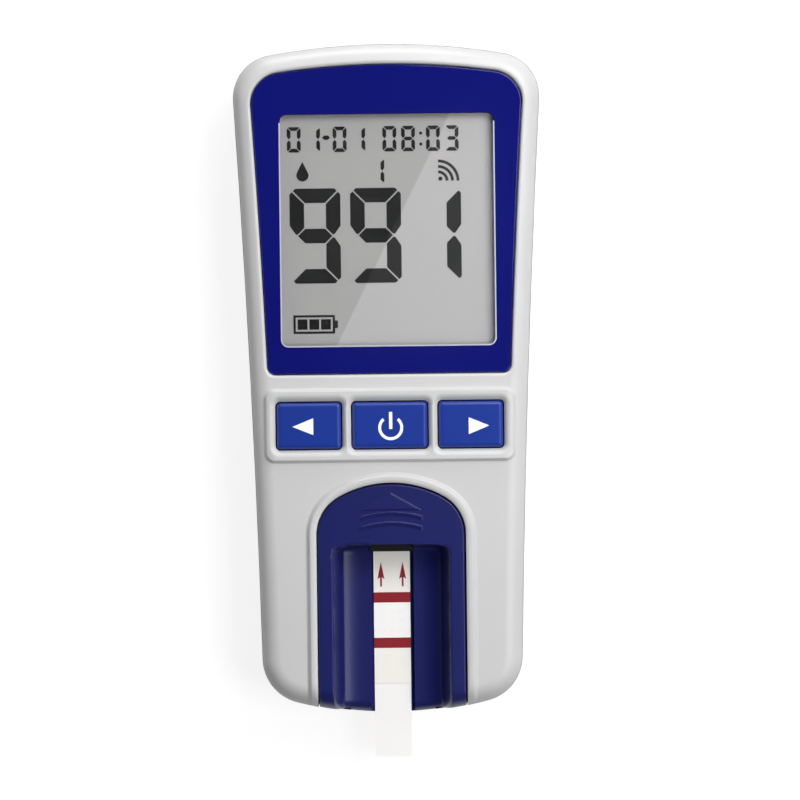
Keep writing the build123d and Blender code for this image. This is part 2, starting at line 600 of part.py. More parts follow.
with BuildPart() as front_housing:
    extrude(case_outline(0, PARTING_HEIGHT), amount=FACE_HEIGHT - PARTING_HEIGHT)
    fillet(front_housing.edges().group_by(Axis.Z)[-1], FRONT_EDGE_RADIUS)
    chamfer(front_housing.edges().group_by(Axis.Z)[0], PARTING_CHAMFER)
    add(raised_trim.part)
    add(front_cavity.part, mode=Mode.SUBTRACT)
    # ledge that carries the display panel
    with BuildSketch(Plane.XY.offset(LEDGE_BASE_HEIGHT)):
        add(panel_outline(WALL - LEDGE_BITE - PANEL_HEAD_MARGIN, 0))
    extrude(amount=LEDGE_TOP_HEIGHT - LEDGE_BASE_HEIGHT)
    extrude(panel_outline(0, LEDGE_TOP_HEIGHT), amount=CREST_HEIGHT - LEDGE_TOP_HEIGHT, mode=Mode.SUBTRACT)
    with BuildSketch(Plane.XY.offset(LEDGE_BASE_HEIGHT)):
        with Locations((0, VIEW_CENTRE)):
            Rectangle(CELL_WIDTH + 2 * CELL_GAP, FRONT_GLASS_HEIGHT + 2 * CELL_GAP)
    extrude(amount=LEDGE_THICKNESS, mode=Mode.SUBTRACT)
    # walls and floor of the notch that the strip holder slides in
    with BuildSketch(Plane.XY.offset(PARTING_HEIGHT)):
        add(arch_outline(HOLDER_GAP + NOTCH_WALL, 0))
        add(case_outline(WALL / 2, 0), mode=Mode.INTERSECT)
    extrude(amount=ROOF_HEIGHT - PARTING_HEIGHT)
    extrude(arch_outline(HOLDER_GAP, NOTCH_FLOOR_TOP), amount=CREST_HEIGHT, mode=Mode.SUBTRACT)
    groove_half = HOLDER_HALF + TONGUE_PROUD + TONGUE_CLEARANCE
    groove_low = TONGUE_HEIGHT - TONGUE_CLEARANCE
    groove_high = TONGUE_HEIGHT + TONGUE_THICKNESS + TONGUE_CLEARANCE
    block(
        (-groove_half, FOOT_PAST_STRIP, groove_low),
        (groove_half, TONGUE_HEAD + HOLDER_GAP, groove_high),
        mode=Mode.SUBTRACT,
    )
    optics_hole_half = OPTICS_HALF + OPTICS_HOLE_CLEARANCE
    optics_hole_reach = OPTICS_LENGTH / 2 + OPTICS_HOLE_CLEARANCE
    block(
        (-optics_hole_half, OPTICS_CENTRE - optics_hole_reach, PARTING_HEIGHT),
        (optics_hole_half, OPTICS_CENTRE + optics_hole_reach, NOTCH_FLOOR_TOP),
        mode=Mode.SUBTRACT,
    )
    # key openings
    extrude(key_openings(PARTING_HEIGHT), amount=CREST_HEIGHT, mode=Mode.SUBTRACT)
    # bosses for the board screws and the case screws
    for boss_x, boss_y in BOARD_SCREWS:
        disc(boss_x, boss_y, BOARD_TOP_HEIGHT, ROOF_HEIGHT, BOARD_BOSS_RADIUS)
        pilot_top = BOARD_BASE_HEIGHT + BOARD_SCREW_LENGTH + PILOT_SPARE
        pilot_radius = BOARD_SCREW_RADIUS + SCREW_CLEARANCE
        disc(boss_x, boss_y, BOARD_TOP_HEIGHT, pilot_top, pilot_radius, mode=Mode.SUBTRACT)
    for boss_x, boss_y in CASE_SCREWS:
        disc(boss_x, boss_y, PARTING_HEIGHT, ROOF_HEIGHT, CASE_BOSS_RADIUS)
        pilot_top = CASE_SCREW_SEAT + CASE_SCREW_LENGTH + PILOT_SPARE
        pilot_radius = CASE_SCREW_RADIUS + SCREW_CLEARANCE
        disc(boss_x, boss_y, PARTING_HEIGHT, pilot_top, pilot_radius, mode=Mode.SUBTRACT)
    # recess for the lip of the rear housing
    with BuildSketch(Plane.XY.offset(PARTING_HEIGHT)) as lip_recess:
        add(case_outline(WALL - LIP_THICKNESS - LIP_CLEARANCE, 0))
        add(case_outline(WALL + LIP_CLEARANCE, 0), mode=Mode.SUBTRACT)
        with Locations((0, LIP_FOOT - LIP_CLEARANCE + CASE_LENGTH / 2)):
            Rectangle(CASE_LENGTH, CASE_LENGTH, mode=Mode.INTERSECT)
    extrude(amount=LIP_HEIGHT + LIP_CLEARANCE, mode=Mode.SUBTRACT)
    # side openings for the data socket and the code chip
    side_x = case_half_width(PORT_ROW)
    socket_half = SOCKET_WIDTH / 2 + PORT_CLEARANCE
    block(
        (side_x - WALL - CUT_OVERRUN, PORT_ROW - socket_half, BOARD_TOP_HEIGHT - PORT_CLEARANCE),
        (side_x + CUT_OVERRUN, PORT_ROW + socket_half, BOARD_TOP_HEIGHT + SOCKET_HEIGHT + PORT_CLEARANCE),
        mode=Mode.SUBTRACT,
    )
    chip_half = CHIP_WIDTH / 2 + CHIP_HEAD_LIP + CHIP_CLEARANCE
    chip_low = BOARD_TOP_HEIGHT + CHIP_LIFT
    chip_high = chip_low + CHIP_THICKNESS
    block(
        (-side_x - CUT_OVERRUN, PORT_ROW - chip_half, chip_low - CHIP_HEAD_LIP - CHIP_CLEARANCE),
        (WALL + CUT_OVERRUN - side_x, PORT_ROW + chip_half, chip_high + CHIP_HEAD_LIP + CHIP_CLEARANCE),
        mode=Mode.SUBTRACT,
    )
front_housing.part.label = "front_housing"
export_step(front_housing.part, "parts/front_housing.step")

# Rear housing with the battery bay
with BuildPart() as rear_cavity:
    extrude(case_outline(WALL, WALL), amount=PARTING_HEIGHT)
    fillet(rear_cavity.edges().group_by(Axis.Z)[0], REAR_EDGE_RADIUS - WALL)

with BuildPart() as rear_housing:
    extrude(case_outline(0, 0), amount=PARTING_HEIGHT)
    chamfer(rear_housing.edges().group_by(Axis.Z)[-1], PARTING_CHAMFER)
    fillet(rear_housing.edges().group_by(Axis.Z)[0], REAR_EDGE_RADIUS)
    add(rear_cavity.part, mode=Mode.SUBTRACT)
    with BuildSketch(Plane.XY.offset(PARTING_HEIGHT - LIP_HEIGHT)):
        add(case_outline(WALL - LIP_THICKNESS, 0))
        add(case_outline(WALL, 0), mode=Mode.SUBTRACT)
        with Locations((0, LIP_FOOT + CASE_LENGTH / 2)):
            Rectangle(CASE_LENGTH, CASE_LENGTH, mode=Mode.INTERSECT)
    extrude(amount=2 * LIP_HEIGHT)
    # opening for the door, then the bay's walls and roof
    block(
        (-DOOR_HALF - DOOR_GAP, DOOR_FOOT - DOOR_GAP, 0),
        (DOOR_HALF + DOOR_GAP, HINGE_Y + DOOR_GAP, WALL),
        mode=Mode.SUBTRACT,
    )
    block(
        (-BAY_HALF - BAY_WALL, BAY_FOOT - BAY_WALL, DOOR_THICKNESS + DOOR_SEAT_GAP),
        (BAY_HALF + BAY_WALL, BAY_HEAD + BAY_WALL, BAY_TOP_HEIGHT),
    )
    block((-BAY_HALF, BAY_FOOT, 0), (BAY_HALF, BAY_HEAD, BAY_ROOF_HEIGHT), mode=Mode.SUBTRACT)
    for gap_index in (-1, 0, 1):
        cradle_x = gap_index * BATTERY_PITCH
        block(
            (cradle_x - CRADLE_WIDTH / 2, BAY_FOOT + CRADLE_END_GAP, BAY_ROOF_HEIGHT - CRADLE_DEPTH),
            (cradle_x + CRADLE_WIDTH / 2, BAY_HEAD - CRADLE_END_GAP, BAY_ROOF_HEIGHT),
        )
    # notches for the door's tabs and windows for its latches
    for side in (-1, 1):
        notch_half = DOOR_TAB_WIDTH / 2 + DOOR_NOTCH_CLEARANCE
        block(
            (side * BATTERY_PITCH - notch_half, BAY_HEAD, DOOR_THICKNESS),
            (side * BATTERY_PITCH + notch_half, BAY_HEAD + BAY_WALL, DOOR_NOTCH_TOP),
            mode=Mode.SUBTRACT,
        )
        window_half = LATCH_WIDTH / 2 + DOOR_NOTCH_CLEARANCE
        block(
            (side * BATTERY_PITCH - window_half, BAY_FOOT - BAY_WALL, LATCH_HEIGHT - LATCH_WINDOW),
            (side * BATTERY_PITCH + window_half, BAY_FOOT, LATCH_HEIGHT),
            mode=Mode.SUBTRACT,
        )
    # slots in the bay's roof for the terminal tails
    for side in (-1, 1):
        tail_half = TAIL_WIDTH / 2 + TAIL_CLEARANCE
        block(
            (side * BATTERY_ROW[3] - tail_half, BAY_FOOT, BAY_ROOF_HEIGHT),
            (side * BATTERY_ROW[3] + tail_half, BAY_FOOT + CONTACT_THICKNESS + TAIL_CLEARANCE, BAY_TOP_HEIGHT),
            mode=Mode.SUBTRACT,
        )
    # posts for the case screws
    for post_x, post_y in CASE_SCREWS:
        disc(post_x, post_y, WALL, PARTING_HEIGHT, CASE_BOSS_RADIUS)
        disc(post_x, post_y, 0, CASE_SCREW_SEAT, COUNTERBORE_RADIUS, mode=Mode.SUBTRACT)
        hole_radius = CASE_SCREW_RADIUS + SCREW_CLEARANCE
        disc(post_x, post_y, CASE_SCREW_SEAT, PARTING_HEIGHT, hole_radius, mode=Mode.SUBTRACT)
    # standoffs for the optical board
    for side in (-1, 1):
        standoff_x = side * OPTICS_SCREW_X
        disc(standoff_x, OPTICS_CENTRE, WALL, OPTICS_BOARD_BASE, OPTICS_POST_RADIUS)
        pilot_low = OPTICS_BASE_HEIGHT - OPTICS_SCREW_LENGTH - OPTICS_PILOT_SPARE
        pilot_radius = OPTICS_SCREW_RADIUS + SCREW_CLEARANCE
        disc(standoff_x, OPTICS_CENTRE, pilot_low, OPTICS_BOARD_BASE, pilot_radius, mode=Mode.SUBTRACT)
    # sound holes under the buzzer and the shallow seat of the label
    disc(BUZZER_X, BUZZER_Y, 0, WALL, SOUND_HOLE_RADIUS, mode=Mode.SUBTRACT)
    with Locations((BUZZER_X, BUZZER_Y, WALL / 2)):
        with PolarLocations(SOUND_RING_RADIUS, SOUND_RING_COUNT):
            Cylinder(SOUND_HOLE_RADIUS, WALL, mode=Mode.SUBTRACT)
    with BuildSketch(Plane.XY):
        with Locations((0, LABEL_CENTRE)):
            RectangleRounded(LABEL_WIDTH, LABEL_LENGTH, LABEL_CORNER)
    extrude(amount=LABEL_RECESS, mode=Mode.SUBTRACT)
rear_housing.part.label = "rear_housing"
export_step(rear_housing.part, "parts/rear_housing.step")

# Blank label on the back
with BuildPart() as rear_label:
    with BuildSketch(Plane.XY.offset(LABEL_RECESS - LABEL_THICKNESS)):
        with Locations((0, LABEL_CENTRE)):
            RectangleRounded(LABEL_WIDTH - 2 * LABEL_GAP, LABEL_LENGTH - 2 * LABEL_GAP, LABEL_CORNER)
    extrude(amount=LABEL_THICKNESS)
rear_label.part.label = "rear_label"
export_step(rear_label.part, "parts/rear_label.step")

# Battery door with its tabs, latches and ribs
with BuildPart() as battery_door:
    block((-DOOR_HALF, DOOR_FOOT, 0), (DOOR_HALF, HINGE_Y, DOOR_THICKNESS))
    for side in (-1, 1):
        tab_x = side * BATTERY_PITCH
        tab_low = WALL + DOOR_TAB_CLEARANCE
        tab_high = tab_low + DOOR_TAB_THICKNESS
        block(
            (tab_x - DOOR_TAB_WIDTH / 2, BAY_HEAD, DOOR_THICKNESS),
            (tab_x + DOOR_TAB_WIDTH / 2, HINGE_Y, tab_high),
        )
        block(
            (tab_x - DOOR_TAB_WIDTH / 2, HINGE_Y, tab_low),
            (tab_x + DOOR_TAB_WIDTH / 2, HINGE_Y + DOOR_TAB_REACH, tab_high),
        )
        latch_foot = BAY_FOOT + LATCH_WALL_GAP
        nose_top = LATCH_HEIGHT - LATCH_NOSE_TOP
        block(
            (tab_x - LATCH_WIDTH / 2, latch_foot, DOOR_THICKNESS),
            (tab_x + LATCH_WIDTH / 2, latch_foot + LATCH_THICKNESS, LATCH_HEIGHT),
        )
        block(
            (tab_x - LATCH_WIDTH / 2, latch_foot - LATCH_NOSE, nose_top - LATCH_NOSE_DEPTH),
            (tab_x + LATCH_WIDTH / 2, latch_foot, nose_top),
        )
        block(
            (tab_x - DOOR_RIB_WIDTH / 2, BAY_FOOT + DOOR_RIB_SETBACK, DOOR_THICKNESS),
            (tab_x + DOOR_RIB_WIDTH / 2, BAY_HEAD - DOOR_RIB_SETBACK, DOOR_THICKNESS + DOOR_RIB_RISE),
        )
    # finger grip ridges pressed into the outer face
    for index in range(DOOR_GRIP_COUNT):
        ridge_y = DOOR_FOOT + DOOR_GRIP_FIRST + index * DOOR_GRIP_PITCH
        block(
            (-DOOR_GRIP_WIDTH / 2, ridge_y, 0),
            (DOOR_GRIP_WIDTH / 2, ridge_y + DOOR_GRIP_PITCH / 2, DOOR_GRIP_DEPTH),
            mode=Mode.SUBTRACT,
        )
battery_door.part.label = "battery_door"
export_step(battery_door.part, "parts/battery_door.step")

# Four screws that hold the shells together
with BuildPart() as case_screws:
    for screw_x, screw_y in CASE_SCREWS:
        head_low = CASE_SCREW_SEAT - CASE_SCREW_HEAD_HEIGHT
        disc(screw_x, screw_y, head_low, CASE_SCREW_SEAT, CASE_SCREW_HEAD_RADIUS)
        disc(screw_x, screw_y, CASE_SCREW_SEAT, CASE_SCREW_SEAT + CASE_SCREW_LENGTH, CASE_SCREW_RADIUS)
        with BuildSketch(Plane.XY.offset(head_low)):
            with Locations((screw_x, screw_y)):
                Rectangle(2 * DRIVE_RADIUS, DRIVE_RADIUS / 2)
                Rectangle(DRIVE_RADIUS / 2, 2 * DRIVE_RADIUS)
        extrude(amount=DRIVE_DEPTH, mode=Mode.SUBTRACT)
case_screws.part.label = "case_screws"
export_step(case_screws.part, "parts/case_screws.step")

# Display panel, its clear window and the tape that holds it
with BuildPart() as display_panel:
    extrude(panel_outline(PANEL_GAP, PANEL_BASE_HEIGHT), amount=PANEL_THICKNESS)
    fillet(display_panel.edges().group_by(Axis.Z)[-1], PANEL_EDGE_ROUNDING)
    with BuildSketch(Plane.XY.offset(PANEL_BASE_HEIGHT)):
        with Locations((0, VIEW_CENTRE)):
            RectangleRounded(VIEW_WIDTH, VIEW_HEIGHT, VIEW_CORNER)
    extrude(amount=PANEL_THICKNESS, mode=Mode.SUBTRACT)
    view_reach = VIEW_HEIGHT / 2 + VIEW_BEVEL
    chamfer(edges_at(display_panel, PANEL_TOP_HEIGHT, VIEW_CENTRE + view_reach, VIEW_CENTRE - view_reach), VIEW_BEVEL)
    with BuildSketch(Plane.XY.offset(PANEL_BASE_HEIGHT)):
        with Locations((0, VIEW_CENTRE)):
            Rectangle(VIEW_WIDTH + 2 * WINDOW_LAP, VIEW_HEIGHT + 2 * WINDOW_LAP)
    extrude(amount=WINDOW_REBATE, mode=Mode.SUBTRACT)
display_panel.part.label = "display_panel"
export_step(display_panel.part, "parts/display_panel.step")

with BuildPart() as display_window:
    with BuildSketch(Plane.XY.offset(WINDOW_TOP_HEIGHT - WINDOW_THICKNESS)):
        with Locations((0, VIEW_CENTRE)):
            plate_lap = 2 * (WINDOW_LAP - WINDOW_CLEARANCE)
            Rectangle(VIEW_WIDTH + plate_lap, VIEW_HEIGHT + plate_lap)
    extrude(amount=WINDOW_THICKNESS)
display_window.part.label = "display_window"
export_step(display_window.part, "parts/display_window.step")

with BuildPart() as panel_tape:
    with BuildSketch(Plane.XY.offset(LEDGE_TOP_HEIGHT)):
        add(panel_outline(PANEL_GAP + TAPE_INSET, 0))
        with Locations((0, VIEW_CENTRE)):
            Rectangle(
                CELL_WIDTH + 2 * CELL_GAP + TAPE_THICKNESS,
                FRONT_GLASS_HEIGHT + 2 * CELL_GAP + TAPE_THICKNESS,
                mode=Mode.SUBTRACT,
            )
    extrude(amount=TAPE_THICKNESS)
panel_tape.part.label = "panel_tape"
export_step(panel_tape.part, "parts/panel_tape.step")

# Liquid crystal cell, from the front film to the reflector
with BuildPart() as lcd_front_film:
    with BuildSketch(Plane.XY.offset(FRONT_POLARIZER_BASE)):
        with Locations((0, VIEW_CENTRE)):
            Rectangle(CELL_WIDTH, REAR_GLASS_HEIGHT)
    extrude(amount=FILM_THICKNESS)
lcd_front_film.part.label = "lcd_front_film"
export_step(lcd_front_film.part, "parts/lcd_front_film.step")

with BuildPart() as lcd_front_glass:
    with BuildSketch(Plane.XY.offset(FRONT_GLASS_BASE)):
        with Locations((0, VIEW_CENTRE)):
            Rectangle(CELL_WIDTH, FRONT_GLASS_HEIGHT)
    extrude(amount=GLASS_THICKNESS)
lcd_front_glass.part.label = "lcd_front_glass"
export_step(lcd_front_glass.part, "parts/lcd_front_glass.step")

with BuildPart() as lcd_rear_glass:
    with BuildSketch(Plane.XY.offset(REAR_GLASS_BASE)):
        with Locations((0, VIEW_CENTRE)):
            Rectangle(CELL_WIDTH, REAR_GLASS_HEIGHT)
    extrude(amount=GLASS_THICKNESS)
lcd_rear_glass.part.label = "lcd_rear_glass"
export_step(lcd_rear_glass.part, "parts/lcd_rear_glass.step")

with BuildPart() as lcd_reflector:
    with BuildSketch(Plane.XY.offset(REFLECTOR_BASE)):
        with Locations((0, VIEW_CENTRE)):
            Rectangle(CELL_WIDTH, REAR_GLASS_HEIGHT)
    extrude(amount=FILM_THICKNESS)
lcd_reflector.part.label = "lcd_reflector"
export_step(lcd_reflector.part, "parts/lcd_reflector.step")

# Frame that carries the cell over the board, and its rubber connectors
zebra_reach = FRONT_GLASS_HEIGHT / 2 - ZEBRA_INSET
with BuildPart() as lcd_frame:
    cavity_half = CELL_WIDTH / 2 + CELL_CLEARANCE
    cavity_reach = FRONT_GLASS_HEIGHT / 2 + CELL_CLEARANCE
    with BuildSketch(Plane.XY.offset(BOARD_TOP_HEIGHT)):
        with Locations((0, VIEW_CENTRE)):
            Rectangle(2 * (cavity_half + FRAME_WALL_SIDE), 2 * (cavity_reach + FRAME_WALL_END))
    extrude(amount=LEDGE_BASE_HEIGHT - BOARD_TOP_HEIGHT)
    for low_height, high_height, half, reach in (
        (REFLECTOR_BASE, LEDGE_BASE_HEIGHT, cavity_half, cavity_reach),
        (BOARD_TOP_HEIGHT, REFLECTOR_BASE - SHELF_THICKNESS, cavity_half, cavity_reach),
        (BOARD_TOP_HEIGHT, REFLECTOR_BASE, CELL_WIDTH / 2 - SHELF_LAP, REAR_GLASS_HEIGHT / 2 - SHELF_LAP),
    ):
        block((-half, VIEW_CENTRE - reach, low_height), (half, VIEW_CENTRE + reach, high_height), mode=Mode.SUBTRACT)
    with BuildSketch(Plane.XY.offset(BOARD_TOP_HEIGHT)):
        with Locations((0, VIEW_CENTRE - zebra_reach), (0, VIEW_CENTRE + zebra_reach)):
            Rectangle(ZEBRA_LENGTH + 2 * CELL_CLEARANCE, ZEBRA_WIDTH + 2 * CELL_CLEARANCE)
    extrude(amount=LEDGE_BASE_HEIGHT - BOARD_TOP_HEIGHT, mode=Mode.SUBTRACT)
lcd_frame.part.label = "lcd_frame"
export_step(lcd_frame.part, "parts/lcd_frame.step")

with BuildPart() as zebra_strips:
    with BuildSketch(Plane.XY.offset(BOARD_TOP_HEIGHT)):
        with Locations((0, VIEW_CENTRE - zebra_reach), (0, VIEW_CENTRE + zebra_reach)):
            Rectangle(ZEBRA_LENGTH, ZEBRA_WIDTH)
    extrude(amount=FRONT_GLASS_BASE - BOARD_TOP_HEIGHT)
zebra_strips.part.label = "zebra_strips"
export_step(zebra_strips.part, "parts/zebra_strips.step")

# Main circuit board and its screws
with BuildPart() as main_board:
    block((-BOARD_HALF, BOARD_FOOT, BOARD_BASE_HEIGHT), (BOARD_HALF, BOARD_HEAD, BOARD_TOP_HEIGHT))
    block((-BOARD_TAB_HALF, BOARD_HEAD, BOARD_BASE_HEIGHT), (BOARD_TAB_HALF, BOARD_TAB_HEAD, BOARD_TOP_HEIGHT))
    for hole_x, hole_y in BOARD_SCREWS:
        hole_radius = BOARD_SCREW_RADIUS + SCREW_CLEARANCE
        disc(hole_x, hole_y, BOARD_BASE_HEIGHT, BOARD_TOP_HEIGHT, hole_radius, mode=Mode.SUBTRACT)
main_board.part.label = "main_board"
export_step(main_board.part, "parts/main_board.step")

with BuildPart() as board_screws:
    for screw_x, screw_y in BOARD_SCREWS:
        head_low = BOARD_BASE_HEIGHT - BOARD_SCREW_HEAD_HEIGHT
        disc(screw_x, screw_y, head_low, BOARD_BASE_HEIGHT, BOARD_SCREW_HEAD_RADIUS)
        disc(screw_x, screw_y, BOARD_BASE_HEIGHT, BOARD_BASE_HEIGHT + BOARD_SCREW_LENGTH, BOARD_SCREW_RADIUS)
board_screws.part.label = "board_screws"
export_step(board_screws.part, "parts/board_screws.step")

# Keys with the switches under them
key_names = ("left", "power", "right")
flange_top = ROOF_HEIGHT - KEY_FLANGE_CLEARANCE
for key_name, (key_x, key_width) in zip(key_names, key_widths()):
    with BuildPart() as button:
        with BuildSketch(Plane.XY.offset(flange_top - KEY_FLANGE_THICKNESS)):
            with Locations((key_x, KEY_ROW)):
                RectangleRounded(key_width, KEY_HEIGHT, KEY_CORNER)
        extrude(amount=KEY_TOP_HEIGHT - flange_top + KEY_FLANGE_THICKNESS)
        fillet(button.edges().group_by(Axis.Z)[-1], KEY_EDGE_ROUNDING)
        with BuildSketch(Plane.XY.offset(flange_top - KEY_FLANGE_THICKNESS)):
            with Locations((key_x, KEY_ROW)):
                RectangleRounded(key_width + 2 * KEY_FLANGE, KEY_HEIGHT + 2 * KEY_FLANGE, KEY_CORNER)
        extrude(amount=KEY_FLANGE_THICKNESS)
        with BuildSketch(Plane.XY.offset(flange_top - KEY_FLANGE_THICKNESS)):
            with Locations((key_x, KEY_ROW)):
                Rectangle(key_width - 2 * KEY_WALL, KEY_HEIGHT - 2 * KEY_WALL)
        key_hollow = KEY_TOP_HEIGHT - KEY_ROOF - flange_top + KEY_FLANGE_THICKNESS
        extrude(amount=key_hollow, mode=Mode.SUBTRACT)
        disc(key_x, KEY_ROW, PLUNGER_TOP_HEIGHT, KEY_TOP_HEIGHT - KEY_ROOF, KEY_STEM_RADIUS)
    button.part.label = f"{key_name}_button"
    export_step(button.part, f"parts/{key_name}_button.step")

    with BuildPart() as switch:
        switch_half = SWITCH_SIZE / 2
        block(
            (key_x - switch_half, KEY_ROW - switch_half, BOARD_TOP_HEIGHT),
            (key_x + switch_half, KEY_ROW + switch_half, SWITCH_TOP_HEIGHT),
        )
        bore_low = SWITCH_TOP_HEIGHT - PLUNGER_DEPTH - KEY_TRAVEL - PLUNGER_CLEARANCE
        bore_radius = PLUNGER_RADIUS + PLUNGER_CLEARANCE
        disc(key_x, KEY_ROW, bore_low, SWITCH_TOP_HEIGHT, bore_radius, mode=Mode.SUBTRACT)
    switch.part.label = f"{key_name}_switch"
    export_step(switch.part, f"parts/{key_name}_switch.step")

    with BuildPart() as plunger:
        disc(key_x, KEY_ROW, SWITCH_TOP_HEIGHT - PLUNGER_DEPTH, PLUNGER_TOP_HEIGHT, PLUNGER_RADIUS)
    plunger.part.label = f"{key_name}_plunger"
    export_step(plunger.part, f"parts/{key_name}_plunger.step")

# Parts soldered under the main board
with BuildPart() as buzzer:
    disc(BUZZER_X, BUZZER_Y, BOARD_BASE_HEIGHT - BUZZER_HEIGHT, BOARD_BASE_HEIGHT, BUZZER_RADIUS)
    chamfer(buzzer.edges().group_by(Axis.Z)[0], PARTING_CHAMFER)
    port_low = BOARD_BASE_HEIGHT - BUZZER_HEIGHT
    disc(BUZZER_X, BUZZER_Y, port_low, port_low + BUZZER_PORT_RADIUS, BUZZER_PORT_RADIUS, mode=Mode.SUBTRACT)
buzzer.part.label = "buzzer"
export_step(buzzer.part, "parts/buzzer.step")

with BuildPart() as controller_chip:
    half_size = CONTROLLER_SIZE / 2
    block(
        (CONTROLLER_X - half_size, CONTROLLER_Y - half_size, BOARD_BASE_HEIGHT - CHIP_HEIGHT),
        (CONTROLLER_X + half_size, CONTROLLER_Y + half_size, BOARD_BASE_HEIGHT),
    )
    chamfer(controller_chip.edges().group_by(Axis.Z)[0], PARTING_CHAMFER)
controller_chip.part.label = "controller_chip"
export_step(controller_chip.part, "parts/controller_chip.step")

with BuildPart() as memory_chip:
    block(
        (MEMORY_X - MEMORY_WIDTH / 2, MEMORY_Y - MEMORY_LENGTH / 2, BOARD_BASE_HEIGHT - CHIP_HEIGHT),
        (MEMORY_X + MEMORY_WIDTH / 2, MEMORY_Y + MEMORY_LENGTH / 2, BOARD_BASE_HEIGHT),
    )
memory_chip.part.label = "memory_chip"
export_step(memory_chip.part, "parts/memory_chip.step")

with BuildPart() as crystal:
    with BuildSketch(Plane.XY.offset(BOARD_BASE_HEIGHT - CRYSTAL_HEIGHT)):
        with Locations((CRYSTAL_X, CRYSTAL_Y)):
            SlotOverall(CRYSTAL_WIDTH, CRYSTAL_LENGTH)
    extrude(amount=CRYSTAL_HEIGHT)
crystal.part.label = "crystal"
export_step(crystal.part, "parts/crystal.step")

with BuildPart() as capacitors:
    for capacitor_y in CAPACITOR_Y:
        disc(
            CAPACITOR_X,
            capacitor_y,
            BOARD_BASE_HEIGHT - CAPACITOR_HEIGHT,
            BOARD_BASE_HEIGHT,
            CAPACITOR_RADIUS,
        )
capacitors.part.label = "capacitors"
export_step(capacitors.part, "parts/capacitors.step")

# Data socket behind the right side wall
socket_mouth = side_x - WALL + SOCKET_WALL_REACH
with BuildPart() as data_socket:
    block(
        (socket_mouth - SOCKET_DEPTH, PORT_ROW - SOCKET_WIDTH / 2, BOARD_TOP_HEIGHT),
        (socket_mouth, PORT_ROW + SOCKET_WIDTH / 2, BOARD_TOP_HEIGHT + SOCKET_HEIGHT),
    )
    block(
        (
            socket_mouth - SOCKET_DEPTH + SOCKET_SHELL,
            PORT_ROW - SOCKET_WIDTH / 2 + SOCKET_SHELL,
            BOARD_TOP_HEIGHT + SOCKET_SHELL,
        ),
        (socket_mouth, PORT_ROW + SOCKET_WIDTH / 2 - SOCKET_SHELL, BOARD_TOP_HEIGHT + SOCKET_HEIGHT - SOCKET_SHELL),
        mode=Mode.SUBTRACT,
    )
data_socket.part.label = "data_socket"
export_step(data_socket.part, "parts/data_socket.step")

with BuildPart() as socket_contacts:
    block(
        (
            socket_mouth - SOCKET_DEPTH + SOCKET_SHELL,
            PORT_ROW - SOCKET_WIDTH / 4,
            BOARD_TOP_HEIGHT + SOCKET_HEIGHT / 2,
        ),
        (
            socket_mouth - SOCKET_WALL_REACH,
            PORT_ROW + SOCKET_WIDTH / 4,
            BOARD_TOP_HEIGHT + SOCKET_HEIGHT / 2 + 2 * SOCKET_SHELL,
        ),
    )
socket_contacts.part.label = "socket_contacts"
export_step(socket_contacts.part, "parts/socket_contacts.step")

# Code chip and its socket in the left side wall
chip_mouth = -side_x + CHIP_SINK
with BuildPart() as code_chip:
    block(
        (chip_mouth, PORT_ROW - CHIP_WIDTH / 2, chip_low),
        (chip_mouth + CHIP_LENGTH, PORT_ROW + CHIP_WIDTH / 2, chip_high),
    )
    block(
        (chip_mouth, PORT_ROW - CHIP_WIDTH / 2 - CHIP_HEAD_LIP, chip_low - CHIP_HEAD_LIP),
        (chip_mouth + CHIP_HEAD_LENGTH, PORT_ROW + CHIP_WIDTH / 2 + CHIP_HEAD_LIP, chip_high + CHIP_HEAD_LIP),
    )
    fillet(code_chip.edges().group_by(Axis.X)[0], PANEL_EDGE_ROUNDING)
code_chip.part.label = "code_chip"
export_step(code_chip.part, "parts/code_chip.step")

with BuildPart() as chip_socket:
    socket_end = chip_mouth + CHIP_LENGTH + CHIP_CLEARANCE
    block(
        (
            WALL + PORT_CLEARANCE - side_x,
            PORT_ROW - CHIP_WIDTH / 2 - CHIP_CLEARANCE - CHIP_SOCKET_WALL,
            BOARD_TOP_HEIGHT,
        ),
        (
            socket_end + CHIP_SOCKET_WALL,
            PORT_ROW + CHIP_WIDTH / 2 + CHIP_CLEARANCE + CHIP_SOCKET_WALL,
            chip_high + CHIP_CLEARANCE + CHIP_LIFT,
        ),
    )
    block(
        (
            WALL + PORT_CLEARANCE - side_x,
            PORT_ROW - CHIP_WIDTH / 2 - CHIP_CLEARANCE,
            chip_low - CHIP_CLEARANCE,
        ),
        (socket_end, PORT_ROW + CHIP_WIDTH / 2 + CHIP_CLEARANCE, chip_high + CHIP_CLEARANCE),
        mode=Mode.SUBTRACT,
    )
chip_socket.part.label = "chip_socket"
export_step(chip_socket.part, "parts/chip_socket.step")

# Strip holder that slides out of its arch
with BuildPart() as lip_envelope:
    extrude(case_outline(0, HOLDER_BASE_HEIGHT), amount=TROUGH_FLOOR_HEIGHT - HOLDER_BASE_HEIGHT)
    fillet(lip_envelope.edges().group_by(Axis.Z)[-1], LIP_ROUNDING)

with BuildPart() as lip_cutter:
    block(
        (-TROUGH_FLOOR_HALF, FOOT_PAST_STRIP, HOLDER_BASE_HEIGHT),
        (TROUGH_FLOOR_HALF, -CASE_LENGTH / 2 + 2 * LIP_ROUNDING, TROUGH_FLOOR_HEIGHT),
    )
    add(lip_envelope.part, mode=Mode.SUBTRACT)

with BuildPart() as trough_cutter:
    loft([trough_section(90 * step / TROUGH_STEPS) for step in range(TROUGH_STEPS + 1)])
    extrude(trough_section(0), amount=TRIM_RISE)

